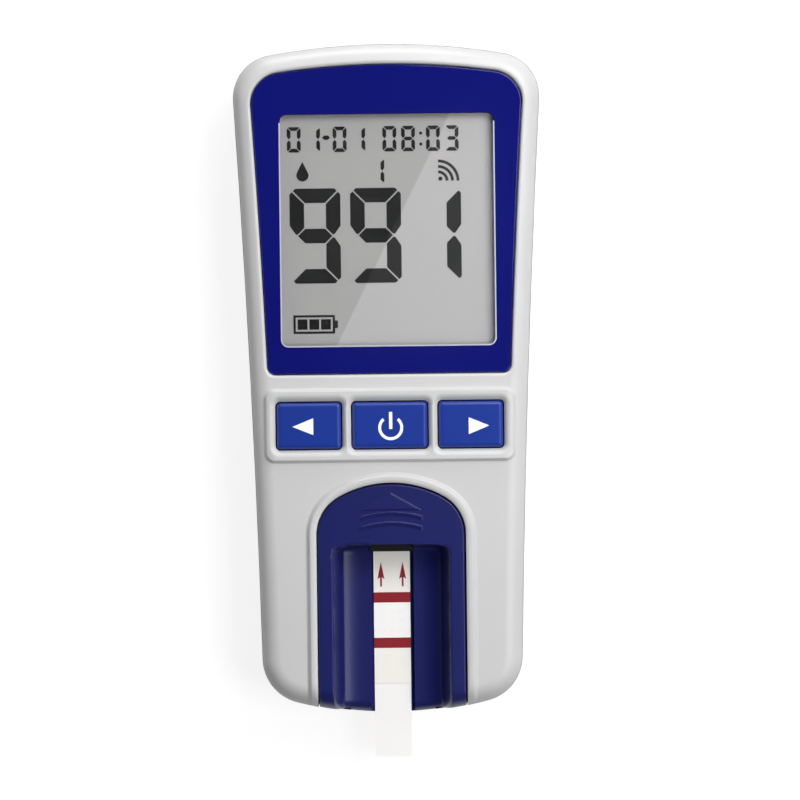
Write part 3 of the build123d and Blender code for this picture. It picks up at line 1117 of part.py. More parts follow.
# raised arrow and the curved steps under it, for the thumb
with BuildPart() as finger_grip:
    with BuildSketch(Plane.XY.offset(FACE_HEIGHT)):
        Polygon(
            (-GRIP_HALF, GRIP_ARROW_BASE),
            (GRIP_HALF, GRIP_ARROW_BASE),
            (0, GRIP_ARROW_BASE + GRIP_ARROW_HEIGHT),
            align=None,
        )
    extrude(amount=GRIP_ARROW_RISE)
    for crest_y in GRIP_ARC_CRESTS:
        arc_head = crest_y + GRIP_RIDGE_WIDTH
        with BuildPart(mode=Mode.PRIVATE) as grip_step:
            with BuildSketch(Plane.YZ):
                Polygon(
                    (arc_head, FACE_HEIGHT),
                    (crest_y, FACE_HEIGHT + GRIP_STEP),
                    (crest_y, FACE_HEIGHT),
                    align=None,
                )
            revolve(axis=Axis((0, arc_head - GRIP_ARC_RADIUS, 0), (0, 0, 1)))
            block(
                (-GRIP_HALF, arc_head - GRIP_ARROW_HEIGHT, FACE_HEIGHT),
                (GRIP_HALF, arc_head, FACE_HEIGHT + GRIP_STEP),
                mode=Mode.INTERSECT,
            )
        add(grip_step.part)

with BuildPart() as strip_holder:
    extrude(case_outline(0, HOLDER_BASE_HEIGHT), amount=FACE_HEIGHT - HOLDER_BASE_HEIGHT)
    fillet(strip_holder.edges().group_by(Axis.Z)[-1], FRONT_EDGE_RADIUS)
    extrude(arch_outline(0, HOLDER_BASE_HEIGHT), amount=FACE_HEIGHT, mode=Mode.INTERSECT)
    fillet(edges_at(strip_holder, FACE_HEIGHT, foot=LIP_FOOT), HOLDER_EDGE_ROUNDING)
    add(trough_cutter.part, mode=Mode.SUBTRACT)
    add(lip_cutter.part, mode=Mode.SUBTRACT)
    # channel with sloping shoulders, then the pocket for the slot guide
    with BuildSketch(Plane.XZ.offset(-TROUGH_FLOOR_HEAD)):
        Polygon(
            (-TROUGH_FLOOR_HALF, TROUGH_FLOOR_HEIGHT),
            (TROUGH_FLOOR_HALF, TROUGH_FLOOR_HEIGHT),
            (CHANNEL_HALF, CHANNEL_WALL_HEIGHT),
            (-CHANNEL_HALF, CHANNEL_WALL_HEIGHT),
            align=None,
        )
    extrude(amount=TROUGH_FLOOR_HEAD - FOOT_PAST_STRIP, mode=Mode.SUBTRACT)
    block(
        (-CHANNEL_HALF, FOOT_PAST_STRIP, CHANNEL_HEIGHT),
        (CHANNEL_HALF, TROUGH_HEAD, CREST_HEIGHT),
        mode=Mode.SUBTRACT,
    )
    block(
        (-CHANNEL_HALF, GUIDE_FOOT, CHANNEL_HEIGHT),
        (CHANNEL_HALF, GUIDE_HEAD, CHANNEL_HEIGHT + GUIDE_RISE + GUIDE_CLEARANCE),
        mode=Mode.SUBTRACT,
    )
    # tunnel that clears the optical head, and the window it reads through
    block(
        (-TUNNEL_HALF, TUNNEL_FOOT, HOLDER_BASE_HEIGHT),
        (TUNNEL_HALF, 0, TUNNEL_HEIGHT),
        mode=Mode.SUBTRACT,
    )
    block(
        (-READ_WINDOW_WIDTH / 2, OPTICS_CENTRE - READ_WINDOW_LENGTH / 2, TUNNEL_HEIGHT),
        (READ_WINDOW_WIDTH / 2, OPTICS_CENTRE + READ_WINDOW_LENGTH / 2, CHANNEL_HEIGHT),
        mode=Mode.SUBTRACT,
    )
    tongue_half = HOLDER_HALF + TONGUE_PROUD
    for side in (-1, 1):
        block(
            (min(side * HOLDER_HALF, side * tongue_half), TONGUE_FOOT, TONGUE_HEIGHT),
            (max(side * HOLDER_HALF, side * tongue_half), TONGUE_HEAD, TONGUE_HEIGHT + TONGUE_THICKNESS),
        )
    add(finger_grip.part)
strip_holder.part.label = "strip_holder"
export_step(strip_holder.part, "parts/strip_holder.step")

# Dark guide that the strip's tip slides into
with BuildPart() as slot_guide:
    guide_half = CHANNEL_HALF - GUIDE_CLEARANCE
    block(
        (-guide_half, GUIDE_FOOT, CHANNEL_HEIGHT),
        (guide_half, GUIDE_HEAD - GUIDE_CLEARANCE, CHANNEL_HEIGHT + GUIDE_RISE),
    )
    slot_half = STRIP_WIDTH / 2 + STRIP_SIDE_CLEARANCE
    block(
        (-slot_half, GUIDE_FOOT, CHANNEL_HEIGHT),
        (slot_half, GUIDE_HEAD, CHANNEL_HEIGHT + GUIDE_SLOT_HEIGHT),
        mode=Mode.SUBTRACT,
    )
slot_guide.part.label = "slot_guide"
export_step(slot_guide.part, "parts/slot_guide.step")

# Test strip: a white backing with the films and tapes laminated on it
strip_half = STRIP_WIDTH / 2
band_first_foot = STRIP_BAND_FIRST - STRIP_BAND_LENGTH
band_second_foot = STRIP_BAND_SECOND - STRIP_BAND_LENGTH
with BuildPart() as strip_backing:
    block((-strip_half, STRIP_FOOT, CHANNEL_HEIGHT), (strip_half, STRIP_HEAD, STRIP_TOP_HEIGHT))
strip_backing.part.label = "strip_backing"
export_step(strip_backing.part, "parts/strip_backing.step")

with BuildPart() as strip_arrow_film:
    block(
        (-strip_half, STRIP_BAND_FIRST, STRIP_TOP_HEIGHT),
        (strip_half, STRIP_HEAD, STRIP_TOP_HEIGHT + STRIP_LAYER),
    )
strip_arrow_film.part.label = "strip_arrow_film"
export_step(strip_arrow_film.part, "parts/strip_arrow_film.step")

with BuildPart() as strip_bands:
    for band_head in (STRIP_BAND_FIRST, STRIP_BAND_SECOND):
        block(
            (-strip_half, band_head - STRIP_BAND_LENGTH, STRIP_TOP_HEIGHT),
            (strip_half, band_head, STRIP_TOP_HEIGHT + STRIP_LAYER),
        )
strip_bands.part.label = "strip_bands"
export_step(strip_bands.part, "parts/strip_bands.step")

with BuildPart() as strip_sample_pad:
    block(
        (-strip_half, STRIP_BAND_SECOND, STRIP_TOP_HEIGHT),
        (strip_half, band_first_foot, STRIP_TOP_HEIGHT + STRIP_LAYER),
    )
strip_sample_pad.part.label = "strip_sample_pad"
export_step(strip_sample_pad.part, "parts/strip_sample_pad.step")

with BuildPart() as strip_handle_film:
    block(
        (-strip_half, STRIP_HANDLE_START, STRIP_TOP_HEIGHT),
        (strip_half, band_second_foot, STRIP_TOP_HEIGHT + STRIP_LAYER),
    )
strip_handle_film.part.label = "strip_handle_film"
export_step(strip_handle_film.part, "parts/strip_handle_film.step")

# Optical head that reads the strip from below
with BuildPart() as optics_block:
    optics_reach = OPTICS_LENGTH / 2
    block(
        (-OPTICS_HALF, OPTICS_CENTRE - optics_reach, OPTICS_BASE_HEIGHT),
        (OPTICS_HALF, OPTICS_CENTRE + optics_reach, OPTICS_TOP_HEIGHT),
    )
    window_half = OPTICS_WINDOW_WIDTH / 2 + OPTICS_WINDOW_CLEARANCE
    window_reach = OPTICS_WINDOW_LENGTH / 2 + OPTICS_WINDOW_CLEARANCE
    block(
        (-window_half, OPTICS_CENTRE - window_reach, OPTICS_CHAMBER_TOP),
        (window_half, OPTICS_CENTRE + window_reach, OPTICS_TOP_HEIGHT),
        mode=Mode.SUBTRACT,
    )
    block(
        (-window_half + WINDOW_LAP, OPTICS_CENTRE - window_reach + WINDOW_LAP, OPTICS_CHAMBER_TOP - OPTICS_CHAMBER_DEPTH),
        (window_half - WINDOW_LAP, OPTICS_CENTRE + window_reach - WINDOW_LAP, OPTICS_CHAMBER_TOP),
        mode=Mode.SUBTRACT,
    )
    for bore_x in (-LED_SPACING, 0, LED_SPACING):
        disc(
            bore_x,
            OPTICS_CENTRE,
            OPTICS_BASE_HEIGHT,
            OPTICS_CHAMBER_TOP - OPTICS_CHAMBER_DEPTH,
            OPTICS_BORE_RADIUS,
            mode=Mode.SUBTRACT,
        )
optics_block.part.label = "optics_block"
export_step(optics_block.part, "parts/optics_block.step")

with BuildPart() as optics_window:
    block(
        (-OPTICS_WINDOW_WIDTH / 2, OPTICS_CENTRE - OPTICS_WINDOW_LENGTH / 2, OPTICS_CHAMBER_TOP),
        (OPTICS_WINDOW_WIDTH / 2, OPTICS_CENTRE + OPTICS_WINDOW_LENGTH / 2, OPTICS_TOP_HEIGHT),
    )
optics_window.part.label = "optics_window"
export_step(optics_window.part, "parts/optics_window.step")

with BuildPart() as optics_board:
    block(
        (-OPTICS_BOARD_HALF, OPTICS_CENTRE - OPTICS_BOARD_LENGTH / 2, OPTICS_BOARD_BASE),
        (OPTICS_BOARD_HALF, OPTICS_CENTRE + OPTICS_BOARD_LENGTH / 2, OPTICS_BASE_HEIGHT),
    )
    for side in (-1, 1):
        hole_radius = OPTICS_SCREW_RADIUS + SCREW_CLEARANCE
        disc(
            side * OPTICS_SCREW_X,
            OPTICS_CENTRE,
            OPTICS_BOARD_BASE,
            OPTICS_BASE_HEIGHT,
            hole_radius,
            mode=Mode.SUBTRACT,
        )
optics_board.part.label = "optics_board"
export_step(optics_board.part, "parts/optics_board.step")

with BuildPart() as optics_leds:
    for led_x in (-LED_SPACING, LED_SPACING):
        disc(led_x, OPTICS_CENTRE, OPTICS_BASE_HEIGHT, OPTICS_BASE_HEIGHT + LED_HEIGHT - LED_RADIUS, LED_RADIUS)
        with Locations((led_x, OPTICS_CENTRE, OPTICS_BASE_HEIGHT + LED_HEIGHT - LED_RADIUS)):
            Sphere(LED_RADIUS)
optics_leds.part.label = "optics_leds"
export_step(optics_leds.part, "parts/optics_leds.step")

with BuildPart() as photodiode:
    block(
        (-DIODE_SIZE / 2, OPTICS_CENTRE - DIODE_SIZE / 2, OPTICS_BASE_HEIGHT),
        (DIODE_SIZE / 2, OPTICS_CENTRE + DIODE_SIZE / 2, OPTICS_BASE_HEIGHT + DIODE_HEIGHT),
    )
photodiode.part.label = "photodiode"
export_step(photodiode.part, "parts/photodiode.step")

with BuildPart() as optics_screws:
    for side in (-1, 1):
        screw_x = side * OPTICS_SCREW_X
        head_top = OPTICS_BASE_HEIGHT + OPTICS_SCREW_HEAD_HEIGHT
        disc(screw_x, OPTICS_CENTRE, OPTICS_BASE_HEIGHT, head_top, OPTICS_SCREW_HEAD_RADIUS)
        shaft_low = OPTICS_BASE_HEIGHT - OPTICS_SCREW_LENGTH
        disc(screw_x, OPTICS_CENTRE, shaft_low, OPTICS_BASE_HEIGHT, OPTICS_SCREW_RADIUS)
optics_screws.part.label = "optics_screws"
export_step(optics_screws.part, "parts/optics_screws.step")

# Ribbon between the two boards and its connector
connector_low = BOARD_BASE_HEIGHT - CONNECTOR_HEIGHT
with BuildPart() as ribbon_connector:
    block(
        (-CONNECTOR_WIDTH / 2, CONNECTOR_Y - CONNECTOR_LENGTH / 2, connector_low),
        (CONNECTOR_WIDTH / 2, CONNECTOR_Y + CONNECTOR_LENGTH / 2, BOARD_BASE_HEIGHT),
    )
ribbon_connector.part.label = "ribbon_connector"
export_step(ribbon_connector.part, "parts/ribbon_connector.step")

ribbon_end = OPTICS_CENTRE + OPTICS_BOARD_LENGTH / 2
ribbon_low = OPTICS_BASE_HEIGHT + RIBBON_THICKNESS / 2
with BuildPart() as ribbon_cable:
    with BuildSketch(Plane.YZ.offset(-RIBBON_WIDTH / 2)):
        with BuildLine() as ribbon_path:
            FilletPolyline(
                (CONNECTOR_Y, connector_low),
                (CONNECTOR_Y, ribbon_low + CONNECTOR_HEIGHT),
                (ribbon_end + CONNECTOR_LENGTH, ribbon_low),
                (ribbon_end - CONNECTOR_LENGTH / 2, ribbon_low),
                radius=CONNECTOR_LENGTH / 2,
            )
        trace(ribbon_path.line, line_width=RIBBON_THICKNESS)
    extrude(amount=RIBBON_WIDTH)
ribbon_cable.part.label = "ribbon_cable"
export_step(ribbon_cable.part, "parts/ribbon_cable.step")

# Four AAA cells, turned end for end along the row
for index, battery_x in enumerate(BATTERY_ROW):
    nub_up = index % 2 == 0
    nub_face = CONTACT_THICKNESS + CONTACT_BUMP
    body_length = BATTERY_LENGTH - BATTERY_NUB_HEIGHT
    if nub_up:
        body_head = BAY_HEAD - nub_face - BATTERY_NUB_HEIGHT
        body_middle = body_head - body_length / 2
        nub_middle = body_head + BATTERY_NUB_HEIGHT / 2
    else:
        body_foot = BAY_FOOT + nub_face + BATTERY_NUB_HEIGHT
        body_middle = body_foot + body_length / 2
        nub_middle = body_foot - BATTERY_NUB_HEIGHT / 2
    with BuildPart() as battery:
        with Locations(Location((battery_x, body_middle, BATTERY_HEIGHT), (90, 0, 0))):
            Cylinder(BATTERY_RADIUS, body_length)
        fillet(battery.edges(), BATTERY_NUB_HEIGHT / 2)
        with Locations(Location((battery_x, nub_middle, BATTERY_HEIGHT), (90, 0, 0))):
            Cylinder(BATTERY_NUB_RADIUS, BATTERY_NUB_HEIGHT)
    battery.part.label = f"battery_{index + 1}"
    export_step(battery.part, f"parts/battery_{index + 1}.step")


def contact_plate(x_low, x_high, bumps, at_head):
    """A flat contact against one end of the bay, with a bump for each nub."""
    inward = -1 if at_head else 1
    wall_y = BAY_HEAD if at_head else BAY_FOOT
    face_y = wall_y + inward * CONTACT_THICKNESS
    block(
        (x_low, min(wall_y, face_y), CONTACT_LOW),
        (x_high, max(wall_y, face_y), CONTACT_HIGH),
    )
    for bump_x in bumps:
        bump_y = face_y + inward * CONTACT_BUMP / 2
        with Locations(Location((bump_x, bump_y, BATTERY_HEIGHT), (90, 0, 0))):
            Cylinder(CONTACT_BUMP_RADIUS, CONTACT_BUMP)


# Contacts at both ends of the battery bay
with BuildPart() as contact_links:
    contact_plate(BATTERY_ROW[0] - CONTACT_HALF, BATTERY_ROW[1] + CONTACT_HALF, [BATTERY_ROW[0]], True)
    contact_plate(BATTERY_ROW[2] - CONTACT_HALF, BATTERY_ROW[3] + CONTACT_HALF, [BATTERY_ROW[2]], True)
    contact_plate(BATTERY_ROW[1] - CONTACT_HALF, BATTERY_ROW[2] + CONTACT_HALF, [BATTERY_ROW[1]], False)
contact_links.part.label = "contact_links"
export_step(contact_links.part, "parts/contact_links.step")

with BuildPart() as terminal_contacts:
    contact_plate(BATTERY_ROW[0] - CONTACT_HALF, BATTERY_ROW[0] + CONTACT_HALF, [], False)
    contact_plate(BATTERY_ROW[3] - CONTACT_HALF, BATTERY_ROW[3] + CONTACT_HALF, [BATTERY_ROW[3]], False)
    for tail_x in (BATTERY_ROW[0], BATTERY_ROW[3]):
        block(
            (tail_x - TAIL_WIDTH / 2, BAY_FOOT, CONTACT_HIGH),
            (tail_x + TAIL_WIDTH / 2, BAY_FOOT + CONTACT_THICKNESS, BOARD_BASE_HEIGHT),
        )
terminal_contacts.part.label = "terminal_contacts"
export_step(terminal_contacts.part, "parts/terminal_contacts.step")

spring_gap = BAY_LENGTH - BATTERY_LENGTH - 2 * CONTACT_THICKNESS - CONTACT_BUMP
with BuildPart() as contact_springs:
    for index, battery_x in enumerate(BATTERY_ROW):
        nub_up = index % 2 == 0
        inward = 1 if nub_up else -1
        plate_y = BAY_FOOT + CONTACT_THICKNESS if nub_up else BAY_HEAD - CONTACT_THICKNESS
        leaf_inset = LEAF_THICKNESS / 2
        with BuildSketch(Plane.YZ.offset(battery_x - LEAF_WIDTH / 2)):
            with BuildLine() as leaf_path:
                Polyline(
                    (plate_y + inward * leaf_inset, CONTACT_HIGH),
                    (plate_y + inward * leaf_inset, CONTACT_HIGH - LEAF_ROOT),
                    (plate_y + inward * (spring_gap - 2 * leaf_inset), BATTERY_HEIGHT),
                    (plate_y + inward * spring_gap / 2, CONTACT_LOW),
                )
            trace(leaf_path.line, line_width=LEAF_THICKNESS)
        extrude(amount=LEAF_WIDTH)
contact_springs.part.label = "contact_springs"
export_step(contact_springs.part, "parts/contact_springs.step")
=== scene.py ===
"""Looks of a hand-held hemoglobin meter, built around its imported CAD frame.

The meter lies on its back and the camera looks straight down at it. Sizes are in
millimetres and turn to metres only where a mesh, lamp or camera is made. Nodes whose
shape is right keep their solids and get a finish; the front shell and the strip holder
get softer skins that stand for theirs, and the prints lie on what carries them.
"""

from __future__ import annotations

import json
import logging
import math
import sys
from dataclasses import dataclass, field
from enum import Enum
from typing import Callable, Iterable, Mapping, Sequence

import bmesh
import bpy
import numpy as np
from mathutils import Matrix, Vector, kdtree
from mathutils.geometry import delaunay_2d_cdt

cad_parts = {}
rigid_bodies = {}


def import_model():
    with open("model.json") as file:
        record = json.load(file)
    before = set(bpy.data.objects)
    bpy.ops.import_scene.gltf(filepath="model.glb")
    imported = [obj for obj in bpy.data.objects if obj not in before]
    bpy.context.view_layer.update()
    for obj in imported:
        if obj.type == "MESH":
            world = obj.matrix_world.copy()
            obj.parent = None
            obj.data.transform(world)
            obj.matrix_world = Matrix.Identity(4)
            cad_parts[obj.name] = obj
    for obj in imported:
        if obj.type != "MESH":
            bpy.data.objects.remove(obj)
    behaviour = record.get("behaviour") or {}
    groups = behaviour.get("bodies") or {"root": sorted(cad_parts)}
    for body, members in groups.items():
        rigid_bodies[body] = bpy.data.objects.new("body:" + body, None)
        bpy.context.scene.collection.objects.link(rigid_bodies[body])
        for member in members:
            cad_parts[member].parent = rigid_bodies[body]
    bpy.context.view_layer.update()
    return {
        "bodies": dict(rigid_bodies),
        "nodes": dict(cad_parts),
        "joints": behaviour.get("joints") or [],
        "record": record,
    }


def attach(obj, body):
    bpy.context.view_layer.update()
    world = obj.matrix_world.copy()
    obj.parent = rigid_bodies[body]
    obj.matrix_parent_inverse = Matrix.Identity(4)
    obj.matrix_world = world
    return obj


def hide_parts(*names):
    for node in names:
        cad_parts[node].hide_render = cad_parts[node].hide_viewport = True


log = logging.getLogger("meter")

MM = 0.001
Array = np.ndarray
Point = tuple[float, float]
Shape = list[Point]
Rings = tuple[float, ...]
HeightField = Callable[[Array, Array], Array]
# the largest turn between two points of an arc, in radians
MOST_TURN = 0.16
# how far apart the rows of a triangular lattice are, as a share of its step
ROW_SHARE = 0.866
# lengths and areas under this count as nothing
NOTHING = 1e-9
# the keys' row and how far apart they are
KEY_ROW = -8.7
KEY_PITCH = 15.2
# the ends of the slanted line in the window, where the mirrored light begins
SLANT_FOOT = (-9.97, 6.25)
SLANT_HEAD = (11.72, 49.75)


class Body(Enum):
    """The bodies that a piece can ride on."""

    METER = "meter"
    LEFT_KEY = "left_key"
    POWER_KEY = "power_key"
    RIGHT_KEY = "right_key"
    HOLDER = "holder"
    STRIP = "test_strip"


class Turn(Enum):
    """How a side of an outline runs, as seen by someone who walks it with the inside on the left."""

    STRAIGHT = 0
    LEFT = 1
    RIGHT = -1


# Outlines: closed plans made of arcs and straight runs


def toward(start: Point, end: Point, share: float, whole: float = 1) -> Point:
    """The point that lies a share of the way from one point to another."""
    return start[0] + (end[0] - start[0]) * share / whole, start[1] + (end[1] - start[1]) * share / whole


def polar(centre: Point, radius: float, angle: float) -> Point:
    """The point at an angle on a circle."""
    return centre[0] + radius * math.cos(angle), centre[1] + radius * math.sin(angle)


@dataclass(frozen=True)
class Side:
    """One side of an outline, an arc about its centre or a straight run."""

    start: Point
    end: Point
    turn: Turn = Turn.STRAIGHT
    centre: Point = (0.0, 0.0)

    @property
    def radius(self) -> float:
        """The arc's radius."""
        return math.dist(self.start, self.centre)

    def angles(self) -> tuple[float, float]:
        """The arc's first angle and the signed angle that it sweeps, in radians."""
        first = math.atan2(self.start[1] - self.centre[1], self.start[0] - self.centre[0])
        last = math.atan2(self.end[1] - self.centre[1], self.end[0] - self.centre[0])
        sweep = (last - first) * self.turn.value % (2 * math.pi) * self.turn.value
        return first, sweep

    def points(self, step: float) -> list[Point]:
        """Points along the side at about a step's distance, without its end."""
        if self.turn is Turn.STRAIGHT:
            count = max(1, math.ceil(math.dist(self.start, self.end) / step))
            return [toward(self.start, self.end, i, count) for i in range(count)]
        first, sweep = self.angles()
        count = max(2, math.ceil(abs(sweep) * self.radius / step), math.ceil(abs(sweep) / MOST_TURN))
        return [polar(self.centre, self.radius, first + sweep * i / count) for i in range(count)]

    def gap(self, x: Array, y: Array) -> tuple[Array, Array]:
        """Distances from places to the side.

        Args:
            x: the places' first coordinates.
            y: the places' second coordinates.

        Returns:
            The plain distances, and the same with a sign that is positive on the inside.
        """
        if self.turn is Turn.STRAIGHT:
            length = math.dist(self.start, self.end)
            tx, ty = (self.end[0] - self.start[0]) / length, (self.end[1] - self.start[1]) / length
            dx, dy = x - self.start[0], y - self.start[1]
            along = np.clip(dx * tx + dy * ty, 0, length)
            plain = np.hypot(dx - along * tx, dy - along * ty)
            return plain, np.where(tx * dy - ty * dx >= 0, plain, -plain)
        first, sweep = self.angles()
        dx, dy = x - self.centre[0], y - self.centre[1]
        reach = np.hypot(dx, dy)
        angle = (np.arctan2(dy, dx) - first) * self.turn.value % (2 * math.pi)
        ends = np.minimum(
            np.hypot(x - self.start[0], y - self.start[1]), np.hypot(x - self.end[0], y - self.end[1])
        )
        inward = (self.radius - reach) * self.turn.value
        plain = np.where(angle <= abs(sweep), np.abs(inward), ends)
        return plain, np.where(inward >= 0, plain, -plain)

    def moved(self, inward: float) -> Side:
        """The side moved inward by a distance."""
        if self.turn is Turn.STRAIGHT:
            length = math.dist(self.start, self.end)
            nx = -(self.end[1] - self.start[1]) / length * inward
            ny = (self.end[0] - self.start[0]) / length * inward
            return Side((self.start[0] + nx, self.start[1] + ny), (self.end[0] + nx, self.end[1] + ny))
        grow = 1 - self.turn.value * inward / self.radius
        start, end = (toward(self.centre, corner, grow) for corner in (self.start, self.end))
        return Side(start, end, self.turn, self.centre)

    def mirrored(self) -> Side:
        """The side's twin across the Y axis, run the other way."""
        (sx, sy), (ex, ey), (cx, cy) = self.start, self.end, self.centre
        return Side((-ex, ey), (-sx, sy), self.turn, (-cx, cy))


@dataclass(frozen=True)
class Outline:
    """A closed outline that runs counter-clockwise."""

    sides: tuple[Side, ...]

    @classmethod
    def symmetric(cls, right: Sequence[Side]) -> Outline:
        """An outline from its right half, which runs up from the foot to the head."""
        return cls((*right, *(side.mirrored() for side in reversed(right))))

    @classmethod
    def rounded(cls, centre: Point, width: float, height: float, corner: float) -> Outline:
        """A rectangle with round corners.

        Args:
            centre: its middle.
            width: its size along X.
            height: its size along Y.
            corner: the radius of its corners.

        Returns:
            The outline.
        """
        cx, cy = centre
        x, y, r = width / 2 - corner, height / 2 - corner, corner
        ends = [
            ((cx + x, cy - y - r), (cx + x + r, cy - y), (cx + x, cy - y)),
            ((cx + x + r, cy + y), (cx + x, cy + y + r), (cx + x, cy + y)),
            ((cx - x, cy + y + r), (cx - x - r, cy + y), (cx - x, cy + y)),
            ((cx - x - r, cy - y), (cx - x, cy - y - r), (cx - x, cy - y)),
        ]
        sides: list[Side] = []
        for i, (start, end, middle) in enumerate(ends):
            sides.append(Side(start, end, Turn.LEFT, middle))
            sides.append(Side(end, ends[(i + 1) % 4][0]))
        return cls(tuple(sides))

    def points(self, step: float) -> list[Point]:
        """Points all the way round, with none twice."""
        return [point for side in self.sides for point in side.points(step)]

    def distance(self, x: Array, y: Array) -> Array:
        """Distance to the outline, positive inside it."""
        best, signed = self.sides[0].gap(x, y)
        for side in self.sides[1:]:
            plain, other = side.gap(x, y)
            nearer = plain < best
            best = np.where(nearer, plain, best)
            signed = np.where(nearer, other, signed)
        return signed

    def offset(self, inward: float) -> Outline:
        """The outline drawn in by a distance, or grown where it is negative."""
        return Outline(tuple(side.moved(inward) for side in self.sides))


@dataclass(frozen=True)
class Circle:
    """A circle that sides lie on; turn says on which side of it the inside is."""

    centre: Point
    radius: float
    turn: Turn = Turn.LEFT

    @classmethod
    def through(cls, a: Point, b: Point, c: Point, turn: Turn) -> Circle:
        """The circle through three points."""
        (ax, ay), (bx, by), (cx, cy) = a, b, c
        d = 2 * (ax * (by - cy) + bx * (cy - ay) + cx * (ay - by))
        a2, b2, c2 = ax * ax + ay * ay, bx * bx + by * by, cx * cx + cy * cy
        x = (a2 * (by - cy) + b2 * (cy - ay) + c2 * (ay - by)) / d
        y = (a2 * (cx - bx) + b2 * (ax - cx) + c2 * (bx - ax)) / d
        return cls((x, y), math.dist((x, y), a), turn)

    def corner(self, other: Circle, radius: float, near: Point) -> Circle:
        """The circle that rounds the corner between this one and another.

        Args:
            other: the circle of the next side.
            radius: the corner's radius.
            near: the sharp corner, which tells the two solutions apart.

        Returns:
            The corner's circle.
        """
        r0 = self.radius - radius * self.turn.value
        r1 = other.radius - radius * other.turn.value
        dx, dy = other.centre[0] - self.centre[0], other.centre[1] - self.centre[1]
        gap = math.hypot(dx, dy)
        along = (r0 * r0 - r1 * r1 + gap * gap) / (2 * gap)
        rise = math.sqrt(r0 * r0 - along * along)
        mx, my = self.centre[0] + along * dx / gap, self.centre[1] + along * dy / gap
        ends = [(mx + s * rise * dy / gap, my - s * rise * dx / gap) for s in (-1, 1)]
        return Circle(min(ends, key=lambda end: math.dist(end, near)), radius)

    def touch(self, corner: Circle) -> Point:
        """Where a corner's circle meets this one."""
        return toward(self.centre, corner.centre, self.radius / math.dist(self.centre, corner.centre))

    def side(self, start: Point, end: Point) -> Side:
        """The side of an outline on this circle between two of its points."""
        return Side(start, end, self.turn, self.centre)


@dataclass(frozen=True)
class CaseShape:
    """The case's plan, the panel's plan and the heights that all the front pieces share."""

    length: float = 126.0
    head_half: float = 29.25
    foot_half: float = 24.35
    side_bow: float = 0.63
    head_radius: float = 128.0
    foot_radius: float = 72.0
    head_corner: float = 8.2
    foot_corner: float = 8.6
    face: float = 24.2
    crest: float = 25.0
    edge_radius: float = 3.6
    panel_margin: float = 3.3
    panel_apex: float = 59.15
    panel_foot: float = 0.85
    panel_radius: float = 145.0
    panel_corner: float = 6.0
    panel_foot_corner: float = 1.6

    def corner_y(self, half: float, radius: float) -> float:
        """How far from the middle a side meets the arc of an end."""
        return self.length / 2 - radius + math.sqrt(radius**2 - half**2)

    def half_width(self, y: float) -> float:
        """Half of the case's width at a place along its length."""
        foot = -self.corner_y(self.foot_half, self.foot_radius)
        head = self.corner_y(self.head_half, self.head_radius)
        along = (y - foot) / (head - foot)
        straight = self.foot_half + (self.head_half - self.foot_half) * along
        return straight - 4 * self.side_bow * along * (1 - along)

    def plan(self) -> Outline:
        """The case seen from the front."""
        end = self.length / 2
        head = self.corner_y(self.head_half, self.head_radius)
        foot = -self.corner_y(self.foot_half, self.foot_radius)
        middle = (head + foot) / 2
        flank = Circle.through(
            (self.foot_half, foot), (self.half_width(middle), middle), (self.head_half, head), Turn.RIGHT
        )
        crown = Circle((0, end - self.head_radius), self.head_radius)
        base = Circle((0, self.foot_radius - end), self.foot_radius)
        low = base.corner(flank, self.foot_corner, (self.foot_half, foot))
        high = crown.corner(flank, self.head_corner, (self.head_half, head))
        return Outline.symmetric(
            [
                base.side((0, -end), base.touch(low)),
                low.side(base.touch(low), flank.touch(low)),
                flank.side(flank.touch(low), flank.touch(high)),
                high.side(flank.touch(high), crown.touch(high)),
                crown.side(crown.touch(high), (0, end)),
            ]
        )

    def panel_plan(self) -> Outline:
        """The pocket that the display panel sits in."""
        head, foot, margin = self.panel_apex, self.panel_foot, self.panel_margin
        head_half = self.half_width(head) - margin
        head_y = head - self.panel_radius + math.sqrt(self.panel_radius**2 - head_half**2)
        middle = (head_y + foot) / 2
        flank = Circle.through(
            (self.half_width(foot) - margin, foot),
            (self.half_width(middle) - margin, middle),
            (head_half, head_y),
            Turn.RIGHT,
        )
        crown = Circle((0, head - self.panel_radius), self.panel_radius)
        high = crown.corner(flank, self.panel_corner, (head_half, head_y))
        corner = self.panel_foot_corner
        reach = flank.radius + corner
        low_x = flank.centre[0] - math.sqrt(reach**2 - (foot + corner - flank.centre[1]) ** 2)
        low = Circle((low_x, foot + corner), corner)
        return Outline.symmetric(
            [
                Side((0, foot), (low_x, foot)),
                low.side((low_x, foot), flank.touch(low)),
                flank.side(flank.touch(low), flank.touch(high)),
                high.side(flank.touch(high), crown.touch(high)),
                crown.side(crown.touch(high), (0, head)),
            ]
        )


@dataclass(frozen=True)
class ArchShape:
    """The arch that the strip holder fills, which runs out past the strip end."""

    half: float = 13.85
    apex: float = -19.7
    crown_radius: float = 20.0
    shoulder: float = 8.0
    far_foot: float = -74.0

    def plan(self, grow: float = 0.0) -> Outline:
        """The arch grown by a distance."""
        half, apex, radius = self.half + grow, self.apex + grow, self.crown_radius + grow
        crown = Circle((0, apex - radius), radius)
        shoulder = self.shoulder + grow
        x = half - shoulder
        y = crown.centre[1] + math.sqrt((radius - shoulder) ** 2 - x * x)
        bend = Circle((x, y), shoulder)
        return Outline.symmetric(
            [
                Side((0, self.far_foot), (half, self.far_foot)),
                Side((half, self.far_foot), (half, y)),
                bend.side((half, y), crown.touch(bend)),
                crown.side(crown.touch(bend), (0, apex)),
            ]
        )


# Meshes: patches that bring their own normals, and reliefs over a plan


def ease(t: Array) -> Array:
    """A smooth step from 0 to 1."""
    t = np.clip(t, 0, 1)
    return t * t * (3 - 2 * t)


